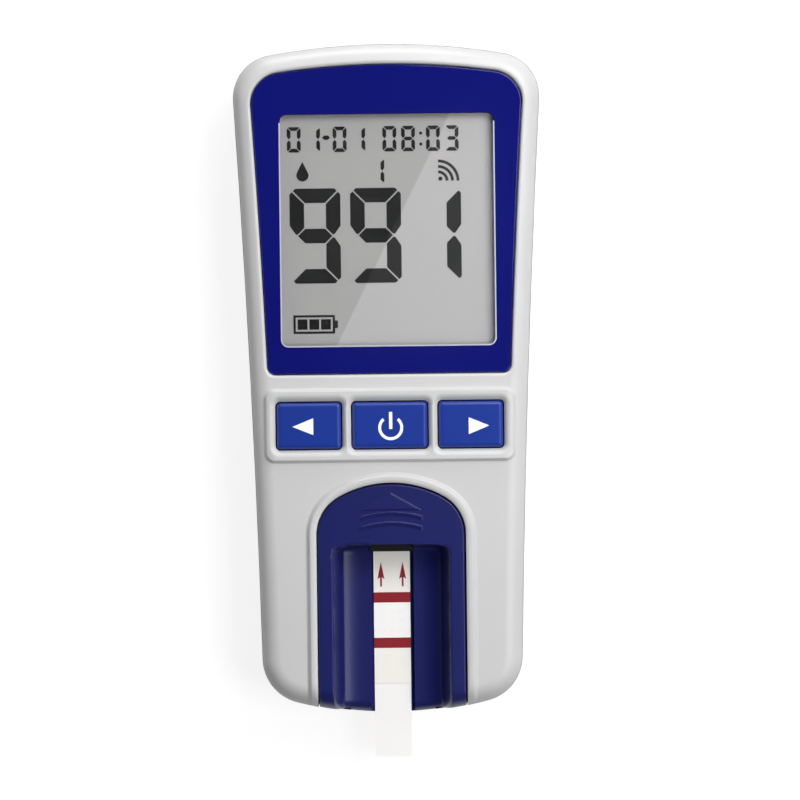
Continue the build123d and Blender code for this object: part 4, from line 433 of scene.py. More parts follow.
def edge_drop(distance: Array, radius: float) -> Array:
    """How far a quarter-round edge falls at a distance in from its outline."""
    inner = np.clip(radius - distance, 0, radius)
    return radius - np.sqrt(np.maximum(radius**2 - inner**2, 0))


def round_steps(radius: float, count: int) -> list[float]:
    """Distances in from an outline that split a quarter-round edge into even turns."""
    return [radius * (1 - math.cos(math.pi / 2 * i / count)) for i in range(1, count + 1)]


def placed(name: str, data: bpy.types.ID) -> bpy.types.Object:
    """An object of the scene that shows some data."""
    obj = bpy.data.objects.new(name, data)
    bpy.context.scene.collection.objects.link(obj)
    return obj


def corner_normals(mesh: bpy.types.Mesh) -> Array:
    """The normals at a mesh's face corners."""
    normals = np.empty(len(mesh.loops) * 3)
    mesh.corner_normals.foreach_get("vector", normals)
    return normals.reshape(-1, 3)


class Skin:
    """A mesh gathered from patches, in millimetres, where each patch brings its normals."""

    def __init__(self) -> None:
        """Starts with no patch."""
        self.points: list[Array] = []
        self.faces: list[tuple[int, ...]] = []
        self.normals: list[Array] = []
        self.count = 0

    def add(
        self, points: Array, faces: Sequence[Sequence[int]], normals: Array, cornered: bool = False
    ) -> None:
        """Adds a patch.

        Args:
            points: its points.
            faces: its faces, by number of point.
            normals: a normal for each point, or for each face corner.
            cornered: whether the normals are for face corners.
        """
        self.points.append(np.asarray(points, dtype=float))
        corners = [i for face in faces for i in face]
        self.normals.append(normals if cornered else normals[corners])
        self.faces += [tuple(i + self.count for i in face) for face in faces]
        self.count += len(points)

    def add_mesh(self, mesh: bpy.types.Mesh, keep: Callable[[Vector, Vector], bool]) -> None:
        """Adds the faces of a mesh in metres that pass a test of their middle, in millimetres, and normal."""
        points = np.empty(len(mesh.vertices) * 3)
        mesh.vertices.foreach_get("co", points)
        normals = corner_normals(mesh)
        faces, kept = [], []
        for polygon in mesh.polygons:
            if keep(polygon.center / MM, polygon.normal):
                faces.append(tuple(polygon.vertices))
                kept.append(normals[polygon.loop_start : polygon.loop_start + polygon.loop_total])
        used = sorted({i for face in faces for i in face})
        number = {old: new for new, old in enumerate(used)}
        faces = [tuple(number[i] for i in face) for face in faces]
        self.add(points.reshape(-1, 3)[used] / MM, faces, np.concatenate(kept), cornered=True)

    def piece(self, name: str) -> bpy.types.Object:
        """The mesh as an object of the scene."""
        mesh = bpy.data.meshes.new(name)
        mesh.from_pydata((np.concatenate(self.points) * MM).tolist(), [], self.faces)
        normals = np.concatenate(self.normals)
        lengths = np.linalg.norm(normals, axis=1, keepdims=True)
        normals = normals / np.where(lengths > NOTHING, lengths, 1)
        mesh.polygons.foreach_set("use_smooth", [True] * len(mesh.polygons))
        mesh.normals_split_custom_set(normals.tolist())
        return placed(name, mesh)


class Cloud:
    """Points of a plan that keep their distance from each other."""

    def __init__(self) -> None:
        """Starts with no point."""
        self.points: list[Point] = []

    def add(self, points: Iterable[Point], clear: float) -> None:
        """Adds the points of a group that lie clear of the points of earlier groups."""
        tree = kdtree.KDTree(max(1, len(self.points)))
        for i, point in enumerate(self.points):
            tree.insert((*point, 0), i)
        tree.balance()
        fresh = []
        for point in points:
            nearest = tree.find((*point, 0))[2] if self.points else None
            if nearest is None or nearest >= clear:
                fresh.append(point)
        self.points += fresh

    def add_rings(self, outline: Outline, insets: Iterable[float], step: float, clear: float) -> None:
        """Adds rings of points that lie at distances in from an outline.

        Args:
            outline: the outline.
            insets: the distances, negative for rings outside it.
            step: how far apart the points of a ring are.
            clear: how far they keep from the points of earlier rings.
        """
        for inset in insets:
            self.add(outline.offset(inset).points(step), clear)


def lattice(low: Point, high: Point, step: float) -> list[Point]:
    """Points of a triangular lattice that fills a rectangle."""
    rise = step * ROW_SHARE
    rows = int((high[1] - low[1]) / rise)
    columns = int((high[0] - low[0]) / step)
    return [
        (low[0] + step * (i + 0.5 * (j % 2)), low[1] + rise * j)
        for j in range(rows + 1)
        for i in range(columns + 1)
    ]


@dataclass
class Relief:
    """A surface given by a height over a plan, with walls hanging from its boundary.

    Its points keep clear of the boundary by a little and weld where they all but meet, its slope
    is taken over a short reach, and walls that agree to the crease's cosine share their normals.
    """

    boundary: list[Outline]
    margin: HeightField
    height: HeightField
    step: float = 0.4
    clear: float = 0.025
    reach: float = 0.012
    crease: float = 0.8
    least_wall: float = 0.01
    weld: float = 1e-6

    def normals(self, x: Array, y: Array) -> Array:
        """The surface's normals at places of the plan."""
        h = self.reach
        dzdx = (self.height(x + h, y) - self.height(x - h, y)) / (2 * h)
        dzdy = (self.height(x, y + h) - self.height(x, y - h)) / (2 * h)
        normals = np.stack([-dzdx, -dzdy, np.ones_like(x)], axis=1)
        return normals / np.linalg.norm(normals, axis=1, keepdims=True)

    def build(self, skin: Skin, cloud: Cloud, wall_foot: float) -> None:
        """Adds the surface and its walls to a skin.

        Args:
            skin: the skin that it goes into.
            cloud: the places inside the plan that the surface passes through.
            wall_foot: the height that the walls reach down to.
        """
        places: list[Point] = []
        edges: list[tuple[int, int]] = []
        for outline in self.boundary:
            loop = outline.points(self.step)
            first = len(places)
            places += loop
            edges += [(first + i, first + (i + 1) % len(loop)) for i in range(len(loop))]
        inner = np.array(cloud.points)
        inner = inner[self.margin(inner[:, 0], inner[:, 1]) > self.clear]
        places += [(float(x), float(y)) for x, y in inner]
        found, _, faces, *_ = delaunay_2d_cdt([Vector(p) for p in places], edges, [], 0, self.weld)
        plan = np.array([(p.x, p.y) for p in found])
        corners = np.array(faces)
        middle = plan[corners].mean(axis=1)
        corners = corners[self.margin(middle[:, 0], middle[:, 1]) > 0]
        a, b, c = (plan[corners[:, i]] for i in range(3))
        area = (b[:, 0] - a[:, 0]) * (c[:, 1] - a[:, 1]) - (b[:, 1] - a[:, 1]) * (c[:, 0] - a[:, 0])
        corners = np.where((area > 0)[:, None], corners, corners[:, ::-1])[np.abs(area) > NOTHING]
        used, corners = np.unique(corners, return_inverse=True)
        plan, corners = plan[used], corners.reshape(-1, 3)
        z = self.height(plan[:, 0], plan[:, 1])
        points = np.column_stack([plan, z])
        skin.add(points, corners.tolist(), self.normals(plan[:, 0], plan[:, 1]))
        self.hang_walls(skin, points, corners, wall_foot)

    def hang_walls(self, skin: Skin, points: Array, corners: Array, foot: float) -> None:
        """Adds the walls under the surface's boundary to a skin."""
        rim: dict[tuple[int, int], None] = {}
        for face in corners.tolist():
            for a, b in zip(face, face[1:] + face[:1]):
                if (b, a) in rim:
                    del rim[b, a]
                else:
                    rim[a, b] = None
        outward: dict[tuple[int, int], Array] = {}
        beside: dict[int, list[Array]] = {}
        for a, b in rim:
            along = points[b, :2] - points[a, :2]
            outward[a, b] = np.array([along[1], -along[0], 0]) / np.linalg.norm(along)
            for end in (a, b):
                beside.setdefault(end, []).append(outward[a, b])
        walls, faces, normals = [], [], []
        for edge, normal in outward.items():
            tops = [points[end].tolist() for end in edge]
            feet = [[*top[:2], min(foot, top[2] - self.least_wall)] for top in tops]
            first = len(walls)
            walls += [tops[0], feet[0], feet[1], tops[1]]
            faces.append((first, first + 1, first + 2, first + 3))
            for end in edge:
                shared = np.mean([n for n in beside[end] if float(n @ normal) > self.crease], axis=0)
                normals += [shared, shared]
        skin.add(np.array(walls), faces, np.array(normals))


def carved_copy(node: bpy.types.Object, above: float) -> bpy.types.Mesh:
    """A node's mesh without what lies above a height in millimetres, as a mesh of its own."""
    mesh = node.data.copy()
    work = bmesh.new()
    work.from_mesh(mesh)
    bmesh.ops.bisect_plane(
        work,
        geom=[*work.verts, *work.edges, *work.faces],
        plane_co=(0, 0, above * MM),
        plane_no=(0, 0, 1),
        clear_outer=True,
    )
    work.to_mesh(mesh)
    work.free()
    return mesh


def flat_piece(name: str, shapes: Sequence[Shape], base: float, thickness: float) -> bpy.types.Object:
    """A thin printed piece, made of flat shapes with upright edges.

    Args:
        name: the piece's name.
        shapes: the shapes' outlines, counter-clockwise.
        base: the height that they lie at.
        thickness: how thick the print is.

    Returns:
        The piece.
    """
    skin = Skin()
    for shape in shapes:
        count = len(shape)
        top = np.array([(x, y, base + thickness) for x, y in shape])
        skin.add(top, [tuple(range(count))], np.tile([0.0, 0.0, 1.0], (count, 1)))
        walls, faces, normals = [], [], []
        for i in range(count):
            a, b = shape[i], shape[(i + 1) % count]
            length = math.dist(a, b)
            normal = [(b[1] - a[1]) / length, (a[0] - b[0]) / length, 0]
            walls += [(*a, base + thickness), (*a, base), (*b, base), (*b, base + thickness)]
            faces.append(tuple(range(4 * i, 4 * i + 4)))
            normals += [normal] * 4
        skin.add(np.array(walls), faces, np.array(normals))
    return skin.piece(name)


def ring_shapes(
    centre: Point, inner: float, outer: float, start: float, end: float, parts: int
) -> list[Shape]:
    """A ring or a piece of one, as short flat shapes.

    Args:
        centre: the ring's centre.
        inner: its inner radius.
        outer: its outer radius.
        start: the angle that it starts at, in degrees.
        end: the angle that it ends at, counter-clockwise.
        parts: how many shapes it is made of.

    Returns:
        The shapes.
    """
    angles = [math.radians(start + (end - start) * i / parts) for i in range(parts + 1)]
    return [
        [polar(centre, inner, b), polar(centre, inner, a), polar(centre, outer, a), polar(centre, outer, b)]
        for a, b in zip(angles, angles[1:])
    ]


def disc_shape(centre: Point, radius: float, count: int) -> Shape:
    """A round flat shape with a number of sides."""
    return [polar(centre, radius, 2 * math.pi * i / count) for i in range(count)]


def box_shape(left: float, foot: float, right: float, head: float) -> Shape:
    """A flat rectangle between its four edges."""
    return [(left, foot), (right, foot), (right, head), (left, head)]


# Finishes: what each material is and how its surface was made


def linear(colour: str) -> tuple[float, float, float, float]:
    """A linear colour with full cover from an sRGB hex value."""
    parts = [int(colour[i : i + 2], 16) / 255 for i in (1, 3, 5)]
    red, green, blue = (v / 12.92 if v <= 0.04045 else ((v + 0.055) / 1.055) ** 2.4 for v in parts)
    return red, green, blue, 1.0


Socket = bpy.types.NodeSocket
Tree = bpy.types.NodeTree
Value = float | tuple[float, ...] | Socket
Inputs = Mapping[str | int, Value]
WHITE = (1.0, 1.0, 1.0, 1.0)
BLACK = (0.0, 0.0, 0.0, 1.0)


def add_node(tree: Tree, kind: str, inputs: Inputs | None = None, **settings: object) -> bpy.types.Node:
    """Adds a node with its settings and links.

    Args:
        tree: the tree that it goes into.
        kind: the node's type.
        inputs: for each input, by name or number, its value or the output that feeds it.
        settings: the node's own settings.

    Returns:
        The node.
    """
    node = tree.nodes.new(kind)
    for name, value in settings.items():
        setattr(node, name, value)
    for key, value in (inputs or {}).items():
        if isinstance(value, Socket):
            tree.links.new(value, node.inputs[key])
        else:
            node.inputs[key].default_value = value
    return node


def new_tree(name: str) -> tuple[bpy.types.Material, Tree]:
    """A material with an empty node tree."""
    material = bpy.data.materials.new(name)
    material.use_nodes = True
    material.node_tree.nodes.clear()
    return material, material.node_tree


def per_metre(size: float) -> float:
    """A texture's scale for a pattern of a size in millimetres."""
    return 1 / (size * MM)


def noise(tree: Tree, place: Socket, size: float, detail: float, roughness: float = 0.5) -> Socket:
    """Soft spots of a size in millimetres, from 0 to 1."""
    inputs = {"Vector": place, "Scale": per_metre(size), "Detail": detail, "Roughness": roughness}
    return add_node(tree, "ShaderNodeTexNoise", inputs).outputs["Fac"]


def stretched(tree: Tree, place: Socket, share: float) -> Socket:
    """Places for a pattern drawn out along Y, where it changes by only a share as much."""
    return add_node(tree, "ShaderNodeMapping", {"Vector": place, "Scale": (1.0, share, 1.0)}).outputs[0]


def combine(tree: Tree, operation: str, first: Value, second: Value) -> Socket:
    """Two numbers worked into one by a named operation."""
    return add_node(tree, "ShaderNodeMath", {0: first, 1: second}, operation=operation).outputs[0]


def between(tree: Tree, factor: Socket, low: float, high: float) -> Socket:
    """A number that goes from low to high with a factor."""
    return add_node(tree, "ShaderNodeMapRange", {"Value": factor, "To Min": low, "To Max": high}).outputs[0]


def tint(tree: Tree, factor: Socket, colour: str, tone: str) -> Socket:
    """A colour that goes over into another with a factor."""
    inputs = {"Factor": factor, 6: linear(colour), 7: linear(tone)}
    return add_node(tree, "ShaderNodeMix", inputs, data_type="RGBA").outputs[2]


def bump(tree: Tree, height: Socket, strength: float, depth: float) -> Socket:
    """The normals of a relief of a depth in millimetres."""
    inputs = {"Height": height, "Strength": strength, "Distance": depth * MM}
    return add_node(tree, "ShaderNodeBump", inputs).outputs["Normal"]


@dataclass(frozen=True)
class Recipe:
    """How a finish is made: each kind says what goes into its surface."""

    name: str

    def surface(self, tree: Tree, place: Socket) -> Inputs:
        """What goes into the surface shader.

        Args:
            tree: the material's tree.
            place: where a point is on the object, in metres.

        Returns:
            The shader's inputs.
        """
        raise NotImplementedError

    def material(self) -> bpy.types.Material:
        """The finish as a material."""
        material, tree = new_tree(self.name)
        place = add_node(tree, "ShaderNodeTexCoord").outputs["Object"]
        shader = add_node(tree, "ShaderNodeBsdfPrincipled", self.surface(tree, place))
        add_node(tree, "ShaderNodeOutputMaterial", {"Surface": shader.outputs[0]})
        return material


@dataclass(frozen=True)
class MouldedPlastic(Recipe):
    """An injection moulded plastic whose mould was spark eroded to a fine grain.

    The grain breaks the gloss into a soft satin; slow changes of tone keep a broad face
    from looking flat, as flow in the mould does.
    """

    colour: str
    tone: str
    roughness: float = 0.42
    grain: float = 0.22
    depth: float = 0.004
    ior: float = 1.53

    def surface(self, tree: Tree, place: Socket) -> Inputs:
        """What goes into the surface shader."""
        flow = noise(tree, place, size=14.0, detail=2.0)
        # the real grain is about 0.05 mm and is drawn a few times coarser so that it can show
        grain = noise(tree, place, self.grain, detail=3.0, roughness=0.6)
        return {
            "Base Color": tint(tree, flow, self.colour, self.tone),
            "Roughness": between(tree, grain, self.roughness - 0.04, self.roughness + 0.05),
            "IOR": self.ior,
            "Normal": bump(tree, grain, strength=0.5, depth=self.depth),
        }


@dataclass(frozen=True)
class PrintedAcrylic(Recipe):
    """Clear acrylic sheet printed on its back, polished, so the colour lies deep under a gloss."""

    name: str = "acrylic_sheet_back_printed_blue"
    colour: str = "#0D1166"
    tone: str = "#12176E"

    def surface(self, tree: Tree, place: Socket) -> Inputs:
        """What goes into the surface shader."""
        flow = noise(tree, place, size=22.0, detail=1.0)
        # faint waves of the sheet, which bend its reflections a little
        wave = noise(tree, place, size=9.0, detail=0.0)
        return {
            "Base Color": tint(tree, flow, self.colour, self.tone),
            "Roughness": 0.08,
            "IOR": 1.49,
            "Normal": bump(tree, wave, strength=0.15, depth=0.01),
        }


@dataclass(frozen=True)
class ClearSheet(Recipe):
    """A clear polished sheet, acrylic or glass, that shows what lies under it and reflects the room."""

    colour: str = "#FBFDFC"
    ior: float = 1.49

    def surface(self, tree: Tree, place: Socket) -> Inputs:
        """What goes into the surface shader."""
        return {
            "Base Color": linear(self.colour),
            "Roughness": 0.0,
            "IOR": self.ior,
            "Transmission Weight": 1.0,
        }


@dataclass(frozen=True)
class Film(Recipe):
    """A thin film, plain or printed, with a satin surface and a faint fibre or flow in its tone."""

    colour: str
    tone: str
    roughness: float = 0.45
    fibre: float = 1.6

    def surface(self, tree: Tree, place: Socket) -> Inputs:
        """What goes into the surface shader."""
        drawn = stretched(tree, place, share=0.35)
        fibre = noise(tree, drawn, self.fibre, detail=4.0, roughness=0.6)
        return {
            "Base Color": tint(tree, fibre, self.colour, self.tone),
            "Roughness": self.roughness,
            "Normal": bump(tree, fibre, strength=0.2, depth=0.01),
        }


@dataclass(frozen=True)
class PolariserWithPaintedReflection(Recipe):
    """The cell's grey film, which is paler right of a slanted line where it mirrors the light of a window.

    The paler tone is a painted reflection, laid into the film's colour by place, so it stays the same from
    any view.
    """

    name: str = "polariser_film_grey_painted_reflection"
    shaded: str = "#9F9D9D"
    lit: str = "#AEABAC"
    low: Point = SLANT_FOOT
    high: Point = SLANT_HEAD
    # the edge between the tones is about a third of a millimetre soft
    blend: float = 0.35

    def surface(self, tree: Tree, place: Socket) -> Inputs:
        """What goes into the surface shader."""
        length = math.dist(self.low, self.high)
        across = ((self.high[1] - self.low[1]) / length, (self.low[0] - self.high[0]) / length)
        start = (across[0] * self.low[0] + across[1] * self.low[1]) * MM
        reach = add_node(tree, "ShaderNodeVectorMath", {0: place, 1: (*across, 0.0)}, operation="DOT_PRODUCT")
        side = add_node(
            tree,
            "ShaderNodeMapRange",
            {"Value": reach.outputs["Value"], "From Min": start, "From Max": start + self.blend * MM},
            interpolation_type="SMOOTHSTEP",
        )
        # painted reflection: the film's grey turns paler right of the slanted line
        grey = tint(tree, side.outputs[0], self.shaded, self.lit)
        return {"Base Color": grey, "Roughness": 0.6, "IOR": 1.49}


@dataclass(frozen=True)
class WovenMesh(Recipe):
    """A fine woven mesh over the strip's pad, which spreads the drop: small bright cells between threads."""

    name: str = "polyester_mesh_woven_white"
    thread: str = "#FCFBF8"
    cell: str = "#F9F8F5"
    # the real threads are about 0.1 mm apart and are drawn far coarser so that they can show
    spacing: float = 1.7593

    def surface(self, tree: Tree, place: Socket) -> Inputs:
        """What goes into the surface shader."""
        # a wave texture turns by twenty radians in a unit of its scale
        scale = per_metre(self.spacing) * 2 * math.pi / 20
        inputs = {"Vector": place, "Scale": scale, "Distortion": 0.4, "Detail": 1.0}
        across, along = (
            add_node(tree, "ShaderNodeTexWave", inputs, bands_direction=direction).outputs["Fac"]
            for direction in ("X", "Y")
        )
        weave = combine(tree, "MAXIMUM", across, along)
        return {
            "Base Color": tint(tree, weave, self.cell, self.thread),
            "Roughness": 0.8,
            "Normal": bump(tree, weave, strength=0.12, depth=0.01),
        }


@dataclass(frozen=True)
class SolderMask(Recipe):
    """A glass-fibre circuit board under green solder mask: copper tracks show as paler raised lines."""

    name: str = "glass_epoxy_board_solder_masked"
    colour: str = "#0E4A2A"
    track: str = "#1B6B3E"
    # the grid that tracks follow
    pitch: float = 2.54

    def surface(self, tree: Tree, place: Socket) -> Inputs:
        """What goes into the surface shader."""
        grid = {"Vector": place, "Scale": per_metre(self.pitch), "Brick Width": 1.9, "Row Height": 0.55}
        lines = {"Mortar Size": 0.09, "Mortar": WHITE, "Color1": BLACK, "Color2": BLACK}
        tracks = add_node(tree, "ShaderNodeTexBrick", {**grid, **lines}).outputs["Color"]
        return {
            "Base Color": tint(tree, tracks, self.colour, self.track),
            "Roughness": 0.3,
            "Normal": bump(tree, tracks, strength=0.4, depth=0.035),
        }


@dataclass(frozen=True)
class PlatedMetal(Recipe):
    """Sheet or wire with a thin plating, with the fine draw lines of its forming."""

    colour: str
    roughness: float = 0.28
    # draw lines are a few hundredths of a millimetre apart and are drawn wider so that they can show
    lines: float = 0.25

    def surface(self, tree: Tree, place: Socket) -> Inputs:
        """What goes into the surface shader."""
        drawn = noise(tree, stretched(tree, place, share=0.06), self.lines, detail=3.0)
        return {
            "Base Color": linear(self.colour),
            "Metallic": 1.0,
            "Roughness": between(tree, drawn, self.roughness - 0.06, self.roughness + 0.1),
            "Normal": bump(tree, drawn, strength=0.3, depth=0.004),
        }


@dataclass(frozen=True)
class CellSleeve(Recipe):
    """A shrink sleeve on a dry cell: dark over most of its length, copper coloured at one end."""

    band_low: float
    band_high: float
    colour: str = "#24272C"
    band: str = "#B9793B"

    def surface(self, tree: Tree, place: Socket) -> Inputs:
        """What goes into the surface shader."""
        y = add_node(tree, "ShaderNodeSeparateXYZ", {"Vector": place}).outputs["Y"]
        above = combine(tree, "GREATER_THAN", y, self.band_low * MM)
        below = combine(tree, "LESS_THAN", y, self.band_high * MM)
        creases = noise(tree, place, size=3.0, detail=3.0)
        return {
            "Base Color": tint(tree, combine(tree, "MULTIPLY", above, below), self.colour, self.band),
            "Metallic": 0.35,
            "Roughness": 0.3,
            "Normal": bump(tree, creases, strength=0.2, depth=0.02),
        }


class Finish(Enum):
    """The finishes of the pieces, each made once."""

    CASE = MouldedPlastic("abs_moulded_light_grey", "#C5C5C5", "#CACACA", roughness=0.36, depth=0.003)
    KEY = MouldedPlastic("polycarbonate_moulded_blue", "#18348D", "#1B3791", roughness=0.3, depth=0.0015)
    HOLDER = MouldedPlastic("abs_moulded_navy", "#171C5B", "#191F5F", roughness=0.33, depth=0.002)
    BLACK = MouldedPlastic("nylon_moulded_black", "#141416", "#1A1A1C", roughness=0.5)
    CHIP = MouldedPlastic("epoxy_moulded_black", "#1B1B1D", "#222224", roughness=0.55, grain=0.12)
    LAMP = MouldedPlastic("epoxy_cast_milky", "#D8DED9", "#E2E6E2", roughness=0.15, depth=0.001)
    TAPE = MouldedPlastic("acrylic_foam_tape", "#1D1D20", "#26262A", roughness=0.85, grain=0.4, depth=0.03)
    SILICONE = MouldedPlastic("silicone_striped_connector", "#2D2F35", "#6A6D75", roughness=0.6, grain=0.3)
    PANEL = PrintedAcrylic()
    WINDOW = ClearSheet("acrylic_sheet_clear")
    GLASS = ClearSheet("soda_lime_glass_polished", "#F2F7F3", ior=1.52)
    # a pale colour painted on the window's bevel as a highlight
    PAINTED_BEVEL_HIGHLIGHT = Film("painted_highlight_acrylic_bevel", "#B4B7C6", "#BFC1CE", roughness=0.4)
    # the film's grey carries a painted reflection right of the slanted line
    POLARISER = PolariserWithPaintedReflection()
    REFLECTOR = Film("reflector_film_silver", "#A9ACA8", "#B4B6B2", roughness=0.35)
    SEGMENT = Film("liquid_crystal_dark", "#0C0C0D", "#101011", roughness=0.3)
    KEY_INK = Film("screen_print_white", "#F2F3F5", "#FBFBFB", roughness=0.5)
    STRIP_WHITE = Film("polyester_strip_white", "#FAF9F7", "#FDFCFA", roughness=0.5)
    STRIP_CREAM = Film("polyester_film_cream", "#F8F4EC", "#FBF8F1", roughness=0.42)
    STRIP_RED = Film("polyester_tape_dark_red", "#8A1A24", "#93212B", roughness=0.42)
    STRIP_MESH = WovenMesh()
    LABEL = Film("polyester_label_blank", "#D9DADC", "#E1E2E3", roughness=0.5)
    RIBBON = Film("polyimide_ribbon_amber", "#A5702A", "#B77F35", roughness=0.3)
    BOARD = SolderMask()
    NICKEL = PlatedMetal("steel_nickel_plated", "#C9C5BC")
    TIN = PlatedMetal("steel_tin_plated", "#C4C6C8", roughness=0.34)
    ZINC = PlatedMetal("steel_zinc_plated", "#B8BBC0", roughness=0.32)
    SLEEVE_UP = CellSleeve("sleeve_printed_copper_at_head", 40.0, 60.0)
    SLEEVE_DOWN = CellSleeve("sleeve_printed_copper_at_foot", -10.0, 15.0)


@dataclass
class Workshop:
    """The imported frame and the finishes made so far."""

    nodes: dict[str, bpy.types.Object]
    made: dict[Finish, bpy.types.Material] = field(default_factory=dict)

    def finish(self, finish: Finish) -> bpy.types.Material:
        """The material of a finish."""
        if finish not in self.made:
            self.made[finish] = finish.value.material()
        return self.made[finish]

    def dress(self, finish: Finish, *nodes: str) -> None:
        """Gives the solids of some nodes a finish."""
        for node in nodes:
            for place in self.nodes[node].material_slots:
                place.link = "OBJECT"
                place.material = self.finish(finish)
            log.info("dressed %s with %s", node, finish.value.name)

    def mount(self, piece: bpy.types.Object, finish: Finish, body: Body, *stands_for: str) -> None:
        """Gives a piece its finish and sets it on its body.

        Args:
            piece: the piece.
            finish: its finish.
            body: the body that it rides on.
            stands_for: the nodes that it is shown in place of.
        """
        piece.data.materials.append(self.finish(finish))
        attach(piece, body.value)
        if stands_for:
            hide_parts(*stands_for)
        log.info("built %s: %d faces on %s", piece.name, len(piece.data.polygons), body.value)


# Sub-assemblies


@dataclass
class SoftTop:
    """A piece whose top is a soft skin, which stands for the upper part of its solid.

    Each kind brings the plan's margin, the height over it, the cloud of places that the skin
    passes through, the height that the solid is kept below, and which of its faces stay bare.
    """

    case: CaseShape
    arch: ArchShape
    # faces of the solid that look up more than this are covered, where the skin lies over them
    covered_from: float = 0.02
    # how many rings of points follow the round of the case's edge
    edge_steps: int = 12

    def skin_over(self, node: bpy.types.Object, name: str, boundary: list[Outline]) -> bpy.types.Object:
        """The soft skin, joined to what it leaves bare of the solid.

        Args:
            node: the solid.
            name: the new piece's name.
            boundary: the outlines that the skin ends at.

        Returns:
            The new piece.
        """
        skin = Skin()
        Relief(boundary, self.margin, self.height).build(skin, self.cloud(), self.kept_below)
        skin.add_mesh(carved_copy(node, self.kept_below), self.stays_bare)
        return skin.piece(name)


@dataclass
class FrontShell(SoftTop):
    """The front shell: a face with a soft edge, a frame round the keys and a bead round the arch."""

    notch_gap: float = 0.2
    frame_centre: Point = (0.0, KEY_ROW)
    frame_width: float = 46.9
    frame_height: float = 13.5
    frame_corner: float = 1.8
    frame_rise: float = 0.65
    # the share of the frame's rise that lies outside its outline
    frame_spread: float = 0.45
    # where each key is and how wide
    keys: tuple[tuple[float, float], ...] = ((-KEY_PITCH, 12.1), (0.0, 14.1), (KEY_PITCH, 12.1))
    key_height: float = 8.7
    key_gap: float = 0.25
    key_corner: float = 0.95
    pocket_run: float = 1.35
    pocket_depth: float = 0.95
    pocket_power: float = 2.2
    bead_round: float = 0.8
    # the share of its radius that the bead's inner side runs round: 1 is a quarter turn
    bead_turn: float = 0.8
    bead_crest: float = 1.05
    bead_end: float = 2.0
    lip_radius: float = 0.65
    kept_below: float = 22.45
    covered_inset: float = 1.3
    covered_above: float = 20.55
    # where rings of points follow the outlines: distances in from each, negative outside it
    key_rings: Rings = (-0.12, -0.28, -0.46, -0.66, -0.88, -1.12, -1.36)
    bead_rings: Rings = (
        -0.06, -0.16, -0.28, -0.42, -0.6, -0.8, -1.05, -1.22, -1.38, -1.54, -1.7, -1.86, -2.05,
    )
    frame_rings: Rings = (0.75, 0.6, 0.44, 0.3, 0.2, 0.1, 0.0, -0.1, -0.2, -0.3, -0.4, -0.56)
    lip_rings: Rings = (-0.06, -0.15, -0.27, -0.42, -0.65, -0.9)

    def __post_init__(self) -> None:
        """Draws the outlines that the face follows."""
        self.edge = self.case.plan()
        self.pocket = self.case.panel_plan()
        self.notch = self.arch.plan(self.notch_gap)
        size = (self.frame_width, self.frame_height)
        self.frame = Outline.rounded(self.frame_centre, *size, self.frame_corner)
        row, height = self.frame_centre[1], self.key_height + 2 * self.key_gap
        self.openings = [
            Outline.rounded((x, row), width + 2 * self.key_gap, height, self.key_corner)
            for x, width in self.keys
        ]

    def from_keys(self, x: Array, y: Array) -> Array:
        """Distance outside the nearest key opening."""
        return -np.max([opening.distance(x, y) for opening in self.openings], axis=0)

    def margin(self, x: Array, y: Array) -> Array:
        """How far inside the face a place is."""
        outside = [-hole.distance(x, y) for hole in (self.pocket, self.notch)]
        return np.min([self.edge.distance(x, y), *outside, self.from_keys(x, y)], axis=0)

    def height(self, x: Array, y: Array) -> Array:
        """The face's height."""
        edge = self.edge.distance(x, y)
        face = self.case.face - edge_drop(edge, self.case.edge_radius)
        crest = self.case.crest - edge_drop(edge, self.case.edge_radius + self.case.crest - self.case.face)
        frame = ease(self.frame.distance(x, y) / self.frame_rise + self.frame_spread)
        away = -self.notch.distance(x, y)
        inner = np.sqrt(1 - (self.bead_turn * np.clip(1 - away / self.bead_round, 0, 1)) ** 2)
        fall = np.clip((away - self.bead_crest) / (self.bead_end - self.bead_crest), 0, 1)
        bead = np.where(away < self.bead_crest, inner, 0.5 + 0.5 * np.cos(np.pi * fall))
        hollow = np.clip(1 - self.from_keys(x, y) / self.pocket_run, 0, 1)
        pocket = self.pocket_depth * hollow**self.pocket_power * (frame > 0)
        lip = edge_drop(-self.pocket.distance(x, y), self.lip_radius)
        return face + (crest - face) * np.maximum(frame, bead) - pocket - lip

    def cloud(self) -> Cloud:
        """The places that the face passes through, dense where it bends."""
        cloud = Cloud()
        for opening in self.openings:
            cloud.add_rings(opening, self.key_rings, step=0.3, clear=0.1)
        cloud.add_rings(self.notch, self.bead_rings, step=0.35, clear=0.08)
        cloud.add_rings(self.frame, self.frame_rings, step=0.35, clear=0.09)
        cloud.add_rings(self.pocket, self.lip_rings, step=0.6, clear=0.05)
        insets = [*round_steps(self.case.edge_radius, self.edge_steps), 4.5]
        cloud.add_rings(self.edge, insets, step=0.4, clear=0.03)
        row = self.frame_centre[1]
        cloud.add(lattice((-24.5, row - 7.5), (24.5, row + 7.5), step=0.4), clear=0.22)
        cloud.add(lattice((-30, -64), (30, 64), step=1.4), clear=0.7)
        return cloud

    def stays_bare(self, middle: Vector, normal: Vector) -> bool:
        """Whether the skin leaves a face of the solid bare."""
        near_edge = float(self.edge.distance(middle.x, middle.y)) < self.covered_inset
        return not (near_edge and middle.z > self.covered_above and normal.z > self.covered_from)

    def build(self, shop: Workshop) -> None:
        """Builds the shell's skin over the inner side of its solid."""
        boundary = [self.edge, self.pocket, self.notch, *self.openings]
        shell = self.skin_over(shop.nodes["front_housing"], "front_shell", boundary)
        shop.mount(shell, Finish.CASE, Body.METER, "front_housing")


